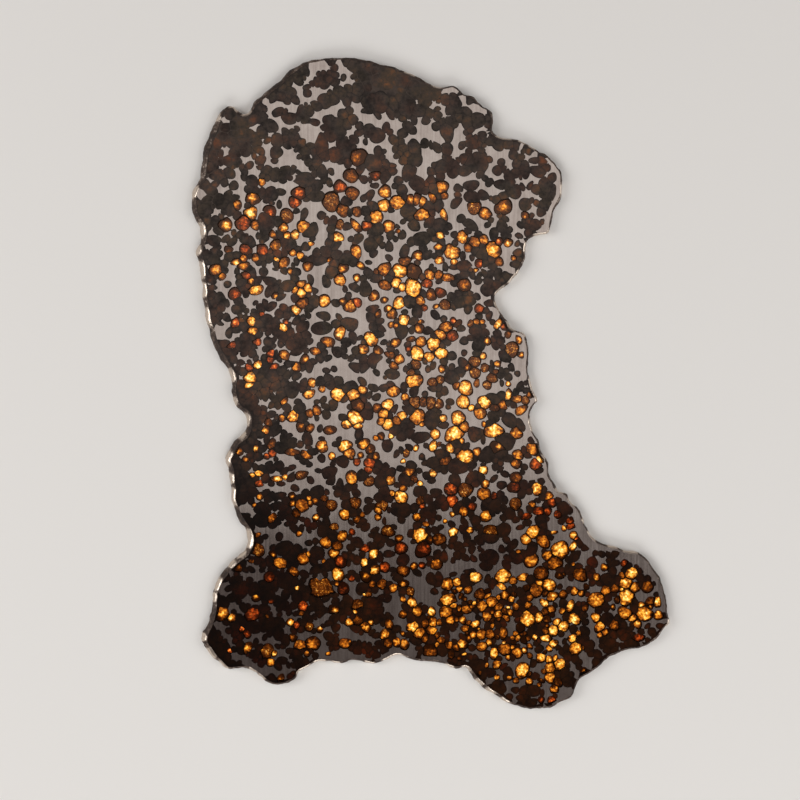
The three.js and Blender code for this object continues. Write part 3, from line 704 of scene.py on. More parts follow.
def pit_depth(place):
    """How deep the rim is eaten at a place: broad pits with chips on them, from 0 to 1."""
    broad = noise.noise(Vector(place) / PIT_WIDTH)
    chips = abs(noise.noise(Vector(place) / CHIP_WIDTH + Vector((7, 1, 3))))
    return min(1.0, max(0.0, USUAL_DEPTH + PIT_DEPTH * broad + CHIP_DEPTH * chips))


@lru_cache(maxsize=None)
def rim_rings():
    """The weathered rim as fine rings in millimetres, from the back face up."""
    pitting = bpy.context.scene.pallasite.pitting / MM
    rough = [smooth_ring(ring, RIM_PARTS) for ring in plate_rings()]
    heights = [ring[0, 2] / THICKNESS for ring in rough]
    rings = []
    for height, depth, rounded in RIM_LEVELS:
        upper = min(max(np.searchsorted(heights, height), 1), len(heights) - 1)
        share = (height - heights[upper - 1]) / (heights[upper] - heights[upper - 1])
        ring = rough[upper - 1] * (1 - share) + rough[upper] * share
        pits = np.array([pit_depth(place) for place in ring]) * depth * pitting
        ring[:, :2] -= outward(ring) * (pits[:, None] + rounded)
        ring[:, 2] = height * THICKNESS
        rings.append(ring)
    return rings


# The crystals


def region_traits(places):
    """Cover, radius, share that glow and warmth at some places, blended from the regions near."""
    away = np.linalg.norm(REGION_PLACES - places[:, None], axis=2) / REGION_REACH
    say = np.exp(-REGION_FADE * away * away) + TINY
    return say @ REGION_TRAITS / say.sum(1)[:, None]


def clean_width(place):
    """How far crystals keep from the rim at a place."""
    width = LEAST_CLEAN
    for pixel, reach, wide in CLEAN_RIM:
        away = np.hypot(*(np.array(on_face(*pixel)) - place)) / (reach * PIXEL)
        width = max(width, wide * PIXEL * max(0.0, 1 - away * away))
    return width


def cells_inside(ring, cell):
    """The middles of the square cells, so wide, that lie inside a ring."""
    low, high = ring.min(0), ring.max(0)
    ahead = np.roll(ring, -1, 0)
    inside = []
    for y in np.arange(low[1], high[1], cell):
        crossing = (ring[:, 1] > y) != (ahead[:, 1] > y)
        a, b = ring[crossing], ahead[crossing]
        cuts = a[:, 0] + (y - a[:, 1]) / (b[:, 1] - a[:, 1]) * (b[:, 0] - a[:, 0])
        x = np.arange(low[0], high[0], cell)
        x = x[(x[:, None] > cuts).sum(1) % 2 == 1]
        inside.append(np.column_stack([x, np.full(len(x), y)]))
    return np.concatenate(inside)


def moved_inside(middle, size, ring):
    """A middle, moved in from the rim as far as a crystal of this size needs."""
    gaps = np.linalg.norm(ring - middle, axis=1)
    nearest = gaps.argmin()
    out = outward(ring)[nearest]
    depth = (ring[nearest] - middle) @ out
    return middle - out * max(0.0, RIM_ROOM * size + clean_width(middle) - depth)


# The looks of the crystals that were read off the photograph: the piece they belong to, and how
# bright the dimmest and the brightest of them are
LOOKS = [
    (BRIGHT_CRYSTALS, "gold", 0.85, 1.0),
    (GOLD_CRYSTALS, "gold", 0.45, 0.8),
    (AMBER_CRYSTALS, "amber", 0.2, 0.6),
    (RED_CRYSTALS, "red", 0.15, 0.5),
    (FLECKED_CRYSTALS, "flecked", 1.0, 1.3),
]


def named_crystals(draw, ring):
    """The crystals that were read off the photograph."""
    found = []
    for rows, tint, dimmest, brightest in LOOKS:
        for x, y, reach, *rest in rows:
            rim, stretch, turn = rest + [PLAIN_RING, 1.0, 0.0][len(rest):]
            size = (reach + rim) * PIXEL
            middle = moved_inside(np.array(on_face(x, y)), size, ring)
            found.append(Crystal(middle, size, draw, tint, reach * PIXEL, stretch, turn,
                                 draw.uniform(dimmest, brightest)))
    for x, y, reach, *rest in DARK_CRYSTALS:
        stretch, turn = rest if rest else (1.0, 0.0)
        middle = moved_inside(np.array(on_face(x, y)), reach * PIXEL, ring)
        found.append(Crystal(middle, reach * PIXEL, draw, "dark", 0.0, stretch, turn,
                             draw.random()))
    return found


# How wide a patch of metal is kept open, as a share of the width listed for it
PATCH_SHARE = 0.75
PATCH_STARTS = np.array([on_face(*row[:2]) for row in METAL_PATCHES])
PATCH_ENDS = np.array([on_face(*row[2:4]) for row in METAL_PATCHES])
PATCH_HALF = np.array([row[4] for row in METAL_PATCHES]) * PIXEL / 2 * PATCH_SHARE


def patch_gap(places):
    """How far places lie outside the nearest patch of metal, and below zero inside it."""
    nearest = np.full(len(places), FAR)
    for start, end, half in zip(PATCH_STARTS, PATCH_ENDS, PATCH_HALF):
        along = end - start
        share = np.clip((places - start) @ along / (along @ along), 0, 1)
        away = np.linalg.norm(places - start - share[:, None] * along, axis=1)
        nearest = np.minimum(nearest, away - half)
    return nearest


# The noise's finer part: how strong and how wide it is, as shares of the broad part
DETAIL_SHARE = 0.3
DETAIL_WIDTH = 0.45


def noise_rank(places, width, start):
    """Each place's rank, from 0 to 1, by a smooth noise whose features are so wide."""
    high = np.array([noise.noise(Vector((x, y, 0)) / width + start)
                     + DETAIL_SHARE * noise.noise(Vector((x, y, 9)) / (width * DETAIL_WIDTH)
                                                  + start)
                     for x, y in places])
    return high.argsort().argsort() / len(places)


# Where crystals may start, on a square grid, and the smallest one's radius, in millimetres
FILL_CELL = 0.6
SMALLEST = 1.2
# The least share of the size drawn for it that a crystal may have, in each pass over the grid
LEAST_SHARES = (0.8, 0.5)
# How much of its radius a crystal keeps from a patch of metal and from the rim
PATCH_ROOM = 0.72
RIM_ROOM = 0.55
# How far apart the middles of merged crystals are, as a share of both radii, and how that varies
OVERLAP = 0.66
OVERLAP_SPREAD = (0.9, 1.15)
# No other crystal starts inside this share of a crystal's radius
FILLED = 0.92
# Places where crystals stand apart: how far, as a share of both radii, how wide such a place is in
# millimetres, and how much of the face such places take for each share of metal
APART = (1.0, 1.1)
APART_WIDTH = 3.5
APART_SHARE = 4.5
APART_START = Vector((7.3, 1.4, 2.5))
# Open patches of metal between those read by eye: how wide they are in millimetres, and their
# share of the metal
OPEN_WIDTH = 1.9
OPEN_SHARE = 0.3
OPEN_START = Vector((3.1, 8.2, 0.5))
# A crystal's size over the usual one there, as the mean and spread of its logarithm, and how many
# times longer it is than wide
SIZE_SPREAD = (-0.02, 0.24)
STRETCHES = (1.0, 1.65)
# How much the warmth of neighbouring glows differs, and where gold turns to amber and amber to red
WARMTH_SPREAD = 0.45
AMBER_WARMTH, RED_WARMTH = 0.35, 0.75
# A glow's reach as a share of the crystal's radius, and its tone from the dimmest to the
# brightest, with dimmer ones where more crystals glow
GLOW_REACHES = (0.35, 0.9)
DIMMEST, BRIGHTEST = 0.1, 0.7
DIMMER_IN_CROWDS = 0.8


def drawn_glow(draw, size, glow_share, warmth):
    """A filling crystal's tint, the reach of its glow and its tone."""
    tone = draw.random()
    if tone >= glow_share:
        return "dark", 0.0, tone
    warm = warmth + draw.uniform(-WARMTH_SPREAD, WARMTH_SPREAD)
    tint = "gold" if warm < AMBER_WARMTH else "amber" if warm < RED_WARMTH else "red"
    glow = size * draw.uniform(*GLOW_REACHES)
    return tint, glow, draw.uniform(DIMMEST - DIMMER_IN_CROWDS * glow_share, BRIGHTEST)


def filling_crystals(found, draw, ring):
    """Crystals drawn at random between the named ones, merging round the metal's open patches."""
    cells = cells_inside(ring, FILL_CELL)
    traits = region_traits(cells)
    metal = 1 - traits[:, 0]
    opened = noise_rank(cells, OPEN_WIDTH, OPEN_START) > 1 - OPEN_SHARE * metal
    apart = noise_rank(cells, APART_WIDTH, APART_START) < APART_SHARE * metal
    gaps = patch_gap(cells)
    covered = opened | (gaps < SMALLEST * PATCH_ROOM)
    middles = np.array([crystal.middle for crystal in found])
    sizes = np.array([crystal.size for crystal in found])
    for middle, size in zip(middles, sizes):
        covered |= np.linalg.norm(cells - middle, axis=1) < size * FILLED
    order = list(range(len(cells)))
    draw.shuffle(order)
    for least, number in product(LEAST_SHARES, order):
        if covered[number]:
            continue
        place = cells[number]
        _, radius, glow_share, warmth = traits[number]
        wanted = radius * PIXEL * draw.lognormvariate(*SIZE_SPREAD)
        away = np.linalg.norm(middles - place, axis=1)
        if apart[number]:
            overlap = draw.uniform(*APART)
        else:
            overlap = OVERLAP * draw.uniform(*OVERLAP_SPREAD)
        size = min(wanted, gaps[number] / PATCH_ROOM, (away / overlap - sizes).min())
        if size < max(SMALLEST, least * wanted):
            continue
        rim_gap = np.linalg.norm(ring - place, axis=1).min() - clean_width(place)
        size = min(size, rim_gap / RIM_ROOM)
        if size < max(SMALLEST, least * wanted):
            continue
        tint, glow, tone = drawn_glow(draw, size, glow_share, warmth)
        found.append(Crystal(place, size, draw, tint, glow, draw.uniform(*STRETCHES),
                             draw.uniform(0, 180), tone))
        middles = np.vstack([middles, place])
        sizes = np.append(sizes, size)
        covered |= np.linalg.norm(cells - place, axis=1) < size * FILLED
    return found


# An outline grows from this share of its full reach in so many steps, and has so many points
STEPS_OUT = 36
STEPS_START = 0.2
FEWEST_POINTS, MOST_POINTS = 12, 36


def grown_outline(crystal, others, ring, seam, step):
    """A crystal's outline where its neighbours and the rim stop it, and which points they stop.

    Returns None for a crystal that its neighbours have swallowed.
    """
    count = int(min(MOST_POINTS, max(FEWEST_POINTS, FULL_TURN * crystal.size / step)))
    reach = crystal.outline(count) - crystal.middle
    shares = np.linspace(STEPS_START, 1, STEPS_OUT)
    points = crystal.middle + shares[:, None, None] * reach
    room = np.full((STEPS_OUT, count), FAR)
    own = ((shares - 1) * crystal.size)[:, None]
    for other in others:
        room = np.minimum(room, other.level(points) - own - seam)
    if len(ring):
        flat = points.reshape(-1, 2)
        gap = np.sqrt(((flat[:, None] - ring[None, :, :2]) ** 2).sum(2).min(1))
        room = np.minimum(room, gap.reshape(STEPS_OUT, count) - clean_width(crystal.middle))
    blocked = room <= 0
    if blocked[0].any():
        return None
    first = np.where(blocked.any(0), blocked.argmax(0), STEPS_OUT - 1)
    column = np.arange(count)
    here, before = room[first, column], room[first - 1, column]
    share = shares[first - 1] + (shares[1] - shares[0]) * before / np.maximum(before - here, TINY)
    touching = blocked.any(0)
    share = np.where(touching, share, 1.0)
    return crystal.middle + share[:, None] * reach, touching


PATTERN_SEED = 41
# How far an outline may reach beyond its plain oval, as a share, and how near a neighbour's or
# the rim has to come to matter, in millimetres
SWELLING = 1.15
NEIGHBOUR_NEAR = 0.5
RIM_NEAR = 6


@lru_cache(maxsize=None)
def crystal_pattern():
    """Every crystal with its outline on the front face, and which of its points touch."""
    settings = bpy.context.scene.pallasite
    draw = random.Random(PATTERN_SEED)
    front = rim_rings()[-1]
    found = filling_crystals(named_crystals(draw, front[:, :2]), draw, front[:, :2])
    middles = np.array([crystal.middle for crystal in found])
    reaches = np.array([max(crystal.axes) * SWELLING for crystal in found])
    grown = []
    for index, crystal in enumerate(found):
        away = np.linalg.norm(middles - crystal.middle, axis=1)
        near = np.nonzero(away < reaches + reaches[index] + NEIGHBOUR_NEAR)[0]
        others = [found[other] for other in near if other != index]
        close = np.linalg.norm(front[:, :2] - crystal.middle, axis=1) < reaches[index] + RIM_NEAR
        result = grown_outline(crystal, others, front[close], settings.seam / MM,
                               settings.outline_step / MM)
        if result:
            grown.append((crystal, *result))
    draw_apart(grown, front)
    return grown


# Outlines that cross are pulled in so many times before the smaller crystal is left out, and so
# many times in all, over this width in millimetres, by this share of their reach
PULLS, ATTEMPTS = 8, 24
PULLED = 0.6
PULL = 0.05


def draw_apart(grown, front):
    """Pulls outlines back from wherever they cross, and leaves out a crystal that still does."""
    for attempt in range(ATTEMPTS):
        try:
            face_triangles(front[:, :2], [outline for _, outline, _ in grown])
            return
        except Crossing as crossing:
            for place in crossing.places:
                gaps = [np.linalg.norm(outline - np.array(place), axis=1)
                        for _, outline, _ in grown]
                near = sorted(range(len(grown)), key=lambda number: gaps[number].min())[:2]
                for number in near:
                    crystal, outline, _ = grown[number]
                    close = gaps[number] < gaps[number].min() + PULLED
                    outline[close] += (crystal.middle - outline[close]) * PULL
                if attempt >= PULLS:
                    del grown[min(near, key=lambda number: grown[number][0].size)]
    raise RuntimeError("some crystals' outlines still cross")


# Meshes


def new_object(name, points, faces, finishes, face_finish):
    """A mesh object from points in millimetres, with one material for each kind of face."""
    mesh = bpy.data.meshes.new(name)
    mesh.from_pydata((np.asarray(points) * MM).tolist(), [], faces)
    for finish in finishes:
        mesh.materials.append(finish)
    mesh.polygons.foreach_set("material_index", face_finish)
    mesh.update()
    mesh.validate()
    thing = bpy.data.objects.new(name, mesh)
    bpy.context.collection.objects.link(thing)
    return thing


class Crossing(Exception):
    """Says where crystals' outlines cross each other."""

    def __init__(self, places):
        super().__init__(f"outlines cross at {places}")
        self.places = places


# Points nearer to each other than this are one, in millimetres
SAME_PLACE = 1e-6


def face_triangles(outer, outlines):
    """Triangles that fill a face between its edge and the crystals' outlines."""
    points = [Vector(p) for p in outer] + [Vector(p) for outline in outlines for p in outline]
    owner, place, edges, start = [], [], [], 0
    for number, loop in enumerate([outer, *outlines]):
        count = len(loop)
        owner += [number] * count
        place += list(range(count))
        edges += [(start + i, start + (i + 1) % count) for i in range(count)]
        start += count
    placed, _, triangles, origins, _, _ = delaunay_2d_cdt(points, edges, [], 1, SAME_PLACE, True)
    if len(placed) != len(points):
        raise Crossing([p for p, origin in zip(placed, origins) if len(origin) != 1])
    lengths = [len(outer)] + [len(outline) for outline in outlines]
    source = [origin[0] for origin in origins]
    kept = []
    for triangle in triangles:
        a, b, c = (source[v] for v in triangle)
        if owner[a] == owner[b] == owner[c]:
            count = lengths[owner[a]]
            forward = (place[b] - place[a]) % count < (place[c] - place[a]) % count
            if forward == (owner[a] > 0):
                continue
        kept.append((a, b, c))
    return kept


def ring_strip(low, high, count):
    """Faces between two rings of points, facing out where the rings run anticlockwise."""
    return [(low + i, low + (i + 1) % count, high + (i + 1) % count, high + i)
            for i in range(count)]


def in_rust(place):
    """Whether the crust has eaten in as far as this place on the face."""
    for pixel, wide, high in RUST_PATCHES:
        away = (np.array(on_face(*pixel)) - place) / (np.array([wide, high]) * PIXEL)
        if away @ away < 1:
            return True
    return False


# Gaps between crystals that are narrower than this hold oxide and no bright metal, with so much
# spread over stretches so wide, in millimetres, and so do patches smaller than this, in square
# millimetres
OXIDE_GAP = 0.32
OXIDE_GAP_SPREAD = 0.25
OXIDE_GAP_WIDTH = 5
OXIDE_PATCH = 0.45
# A gap where three crystals meet is this share of its longest side wide
THREE_WAY = 0.8
# The rim's own edge is oxide where crystals leave it less than this, unless it runs this clear
RIM_OXIDE = 1.4
CLEAN_ENOUGH = 0.6


def gap_widths(points, owners, triangles):
    """How wide the gap is that each of a face's triangles lies in, and each one's area."""
    corners, owner = points[triangles], owners[triangles]
    sides = np.roll(corners, -1, 1) - corners
    lengths = np.linalg.norm(sides, axis=2)
    area = np.abs(sides[:, 0, 0] * sides[:, 2, 1] - sides[:, 0, 1] * sides[:, 2, 0]) / 2
    same = np.roll(owner, -1, 1) == owner
    gap = np.where(same, 2 * area[:, None] / np.maximum(lengths, TINY), 0).max(1)
    between_three = ~same.any(1)
    gap[between_three] = lengths[between_three].max(1) * THREE_WAY
    inside_one = same.all(1)
    gap[inside_one] = np.where(owner[inside_one, 0] > 0, 0, FAR)
    return gap, area


def joined_patches(triangles, left_out):
    """Groups of triangles that join along their edges, without those that are left out."""
    next_to = {}
    for number, (a, b, c) in enumerate(triangles.tolist()):
        if not left_out[number]:
            for edge in ((a, b), (b, c), (c, a)):
                next_to.setdefault(frozenset(edge), []).append(number)
    neighbours = {}
    for pair in next_to.values():
        if len(pair) == 2:
            neighbours.setdefault(pair[0], []).append(pair[1])
            neighbours.setdefault(pair[1], []).append(pair[0])
    seen = set(np.nonzero(left_out)[0].tolist())
    for first in range(len(triangles)):
        if first in seen:
            continue
        seen.add(first)
        patch, ahead = [], [first]
        while ahead:
            number = ahead.pop()
            patch.append(number)
            for other in neighbours.get(number, ()):
                if other not in seen:
                    seen.add(other)
                    ahead.append(other)
        yield patch


def oxide_triangles(points, owners, triangles):
    """Which triangles of a face are oxide: in narrow gaps, tiny patches and rusty places."""
    gap, area = gap_widths(points, owners, triangles)
    middles = points[triangles].mean(1)
    widest = [OXIDE_GAP + OXIDE_GAP_SPREAD * noise.noise(Vector((x, y, 20)) / OXIDE_GAP_WIDTH)
              for x, y in middles]
    oxide = gap < widest
    for number in np.nonzero((owners[triangles] == 0).any(1))[0]:
        if gap[number] < RIM_OXIDE and clean_width(middles[number]) < CLEAN_ENOUGH:
            oxide[number] = True
    for patch in joined_patches(triangles, oxide.copy()):
        size = area[patch].sum()
        middle = (middles[patch] * area[patch][:, None]).sum(0) / max(size, TINY)
        named = patch_gap(middle[None])[0] < 0
        if size < OXIDE_PATCH or (in_rust(middle) and not named):
            oxide[patch] = True
    return oxide


# Finishes


def per_mm(size):
    """A texture's scale for a pattern whose features are this many millimetres across."""
    return 1 / (size * MM)


def add_node(tree, kind, settings=None, sockets=None):
    """Adds a node, sets its properties, and gives each input named a value or a source."""
    node = tree.nodes.new(kind)
    for name, value in (settings or {}).items():
        if name == "stops":
            ramp = node.color_ramp
            while len(ramp.elements) < len(value):
                ramp.elements.new(0.5)
            for element, (position, colour) in zip(ramp.elements, value):
                element.position = position
                element.color = linear(colour)
        else:
            setattr(node, name, value)
    for name, value in (sockets or {}).items():
        if isinstance(value, bpy.types.Node):
            value = value.outputs[0]
        if isinstance(value, bpy.types.NodeSocket):
            tree.links.new(value, node.inputs[name])
        else:
            node.inputs[name].default_value = value
    return node


# Attributes on the points: how bright a crystal is, how near its border, and how worn the web
TONE, EDGE, WEAR = "tone", "edge", "wear"


def new_finish(name, sockets):
    """A material with its node tree and its shader, which takes these values."""
    finish = bpy.data.materials.new(name)
    finish.use_nodes = True
    tree = finish.node_tree
    tree.nodes.clear()
    shader = add_node(tree, "ShaderNodeBsdfPrincipled", None, sockets)
    add_node(tree, "ShaderNodeOutputMaterial", None, {"Surface": shader})
    return finish, tree, shader


# Olivine's index of refraction
OLIVINE_IOR = 1.67
# Painted shade: what the stone's colour is multiplied by at the foot of the slice, and at the
# foot's left, to darken and redden it there
FOOT_PAINTED_SHADE = "#a46e3a"
FOOT_LEFT_PAINTED_SHADE = "#6a4524"
# Where that painted shade sets in along the slice and where it is full, in millimetres, for stone
# and for metal
STONE_SHADE_SPAN = (2, -50)
METAL_SHADE_SPAN = (-45, -70)
# The same across the slice, for the painted shade at the foot's left
FOOT_LEFT_SHADE_SPAN = (-30, -60)
# The metal's painted shade runs across the slice over this width on either side of its middle
METAL_SHADE_HALF_WIDTH = 90


def share_along(tree, place, axis, start, end):
    """From 0 at one place along an axis to 1 at another, both in millimetres."""
    along = add_node(tree, "ShaderNodeSeparateXYZ", None, {"Vector": place}).outputs[axis]
    return add_node(tree, "ShaderNodeMapRange", None,
                    {"From Min": start * MM, "From Max": end * MM, "To Min": 0.0, "To Max": 1.0,
                     "Value": along})


def painted_shade_low_down(tree, place, colour):
    """A stone's colour with painted shade: darker and redder towards the foot, and darkest at the
    foot's left.
    """
    painted_shade = add_node(tree, "ShaderNodeMix", {"data_type": "RGBA"},
                     {"Factor": share_along(tree, place, "X", *FOOT_LEFT_SHADE_SPAN),
                      6: linear(FOOT_PAINTED_SHADE), 7: linear(FOOT_LEFT_PAINTED_SHADE)}).outputs[2]
    return add_node(tree, "ShaderNodeMix", {"data_type": "RGBA", "blend_type": "MULTIPLY"},
                    {"Factor": share_along(tree, place, "Y", *STONE_SHADE_SPAN),
                     6: colour, 7: painted_shade}).outputs[2]


def nickel_iron():
    """Ground and polished nickel-iron: a warm grey satin with fine scratches along its length.

    Painted shade makes it dimmer at the slice's foot, and most so at the foot's left.
    """
    finish, tree, shader = new_finish("ground nickel-iron", {"Metallic": 1.0})
    place = add_node(tree, "ShaderNodeTexCoord").outputs["Object"]
    stretched = add_node(tree, "ShaderNodeMapping", None, {"Scale": (1, 0.04, 1), "Vector": place})
    scratches = add_node(tree, "ShaderNodeTexNoise", None,
                         {"Scale": per_mm(0.7), "Detail": 4.0, "Roughness": 0.6,
                          "Vector": stretched})
    clouds = add_node(tree, "ShaderNodeTexNoise", None,
                      {"Scale": per_mm(7), "Detail": 5.0, "Roughness": 0.65, "Vector": place})
    mixed = add_node(tree, "ShaderNodeMath", {"operation": "ADD"}, {0: scratches, 1: clouds})
    halved = add_node(tree, "ShaderNodeMath", {"operation": "MULTIPLY"}, {0: mixed, 1: 0.5})
    colour = add_node(tree, "ShaderNodeValToRGB",
                      {"stops": [(0.34, "#b0a59e"), (0.5, "#c6bbb4"), (0.66, "#d8cfc8")]},
                      {"Fac": halved})
    # Painted shade: this ramp across the slice darkens the metal at the foot, most at its left
    painted_shade = add_node(tree, "ShaderNodeValToRGB",
                     {"stops": [(0.15, "#c2bebe"), (0.32, "#dedcdc"), (0.62, "#dedcdc"),
                                (0.85, "#ffffff")]},
                     {"Fac": share_along(tree, place, "X", -METAL_SHADE_HALF_WIDTH, METAL_SHADE_HALF_WIDTH)})
    colour = add_node(tree, "ShaderNodeMix", {"data_type": "RGBA", "blend_type": "MULTIPLY"},
                      {"Factor": share_along(tree, place, "Y", *METAL_SHADE_SPAN), 6: colour, 7: painted_shade})
    rough = add_node(tree, "ShaderNodeMapRange", None,
                     {"From Min": 0.3, "From Max": 0.7, "To Min": 0.14, "To Max": 0.2,
                      "Value": scratches})
    bump = add_node(tree, "ShaderNodeBump", None,
                    {"Strength": 0.05, "Distance": 0.03 * MM, "Height": scratches})
    tree.links.new(colour.outputs[2], shader.inputs["Base Color"])
    tree.links.new(rough.outputs[0], shader.inputs["Roughness"])
    tree.links.new(bump.outputs[0], shader.inputs["Normal"])
    return finish


def iron_oxide():
    """Iron oxide in the seams, ground flush: brown-black with a dull shine."""
    finish, tree, shader = new_finish("iron oxide seam", {
        "Roughness": 0.22, "IOR": OLIVINE_IOR, "Specular IOR Level": 0.12})
    place = add_node(tree, "ShaderNodeTexCoord").outputs["Object"]
    clouds = add_node(tree, "ShaderNodeTexNoise", None,
                      {"Scale": per_mm(3), "Detail": 5.0, "Roughness": 0.7, "Vector": place})
    hazy = add_node(tree, "ShaderNodeAttribute", {"attribute_name": WEAR}).outputs["Fac"]
    mixed = weighted_sum(tree, [(clouds, 0.8), (hazy, 0.35)])
    colour = add_node(tree, "ShaderNodeValToRGB",
                      {"stops": [(0.25, "#201a17"), (0.45, "#332b27"), (0.6, "#3c332e"),
                                 (0.85, "#4c4039")]}, {"Fac": mixed})
    # Painted shade: the oxide is darkened and reddened towards the foot and its left
    tree.links.new(painted_shade_low_down(tree, place, colour), shader.inputs["Base Color"])
    return finish


def weathered_crust():
    """The meteorite's weathered outside: rough brown oxide with bright worn iron showing."""
    finish, tree, shader = new_finish("weathered iron crust", {})
    place = add_node(tree, "ShaderNodeTexCoord").outputs["Object"]
    broad = add_node(tree, "ShaderNodeTexNoise", None,
                     {"Scale": per_mm(5), "Detail": 6.0, "Roughness": 0.7, "Vector": place})
    fine = add_node(tree, "ShaderNodeTexNoise", None,
                    {"Scale": per_mm(0.8), "Detail": 4.0, "Roughness": 0.6, "Vector": place})
    worn = add_node(tree, "ShaderNodeAttribute", {"attribute_name": WEAR}).outputs["Fac"]
    mixed = add_node(tree, "ShaderNodeMix", {"data_type": "FLOAT"},
                     {"Factor": 0.4, "A": broad, "B": fine})
    showing = add_node(tree, "ShaderNodeMath", {"operation": "MULTIPLY_ADD"},
                       {0: worn, 1: 0.36, 2: mixed})
    colour = add_node(tree, "ShaderNodeValToRGB",
                      {"stops": [(0.36, "#140d09"), (0.47, "#33231a"), (0.56, "#574539"),
                                 (0.68, "#d2c3b4")]}, {"Fac": showing})
    bare = add_node(tree, "ShaderNodeMapRange", None,
                    {"From Min": 0.58, "From Max": 0.68, "To Min": 0.0, "To Max": 1.0,
                     "Value": showing})
    rough = add_node(tree, "ShaderNodeMapRange", None,
                     {"From Min": 0.5, "From Max": 0.7, "To Min": 0.75, "To Max": 0.3,
                      "Value": showing})
    bump = add_node(tree, "ShaderNodeBump", None,
                    {"Strength": 0.6, "Distance": 0.15 * MM, "Height": fine})
    tree.links.new(colour.outputs[0], shader.inputs["Base Color"])
    tree.links.new(bare.outputs[0], shader.inputs["Metallic"])
    tree.links.new(rough.outputs[0], shader.inputs["Roughness"])
    tree.links.new(bump.outputs[0], shader.inputs["Normal"])
    return finish


# The UV map that says how far each point lies from the middle of its crystal's glow, and how much
# of the map one reach of the glow takes
CORE_MAP = "core"
CORE_SCALE = 0.1


def distance_from_core(tree, place, wander):
    """How far a point is from the middle of its crystal's glow, 1 at the glow's usual reach.

    The way there wanders by this much, so that the glow isn't round.
    """
    spot = add_node(tree, "ShaderNodeUVMap", {"uv_map": CORE_MAP})
    centred = add_node(tree, "ShaderNodeMapping", None,
                       {"Location": (-0.5 / CORE_SCALE, -0.5 / CORE_SCALE, 0),
                        "Scale": (1 / CORE_SCALE, 1 / CORE_SCALE, 0), "Vector": spot})
    cloud = add_node(tree, "ShaderNodeTexNoise", None,
                     {"Scale": per_mm(1.3), "Detail": 2.0, "Vector": place}).outputs["Color"]
    shifted = add_node(tree, "ShaderNodeMapping", None,
                       {"Location": (-wander / 2, -wander / 2, 0), "Scale": (wander, wander, 0),
                        "Vector": cloud})
    wandering = add_node(tree, "ShaderNodeVectorMath", {"operation": "ADD"},
                         {0: centred, 1: shifted})
    return add_node(tree, "ShaderNodeVectorMath", {"operation": "LENGTH"},
                    {0: wandering}).outputs["Value"]


def weighted_sum(tree, terms):
    """The sum of sources, each times its own number."""
    total = 0.0
    for source, weight in terms:
        total = add_node(tree, "ShaderNodeMath", {"operation": "MULTIPLY_ADD"},
                         {0: source, 1: weight, 2: total})
    return total


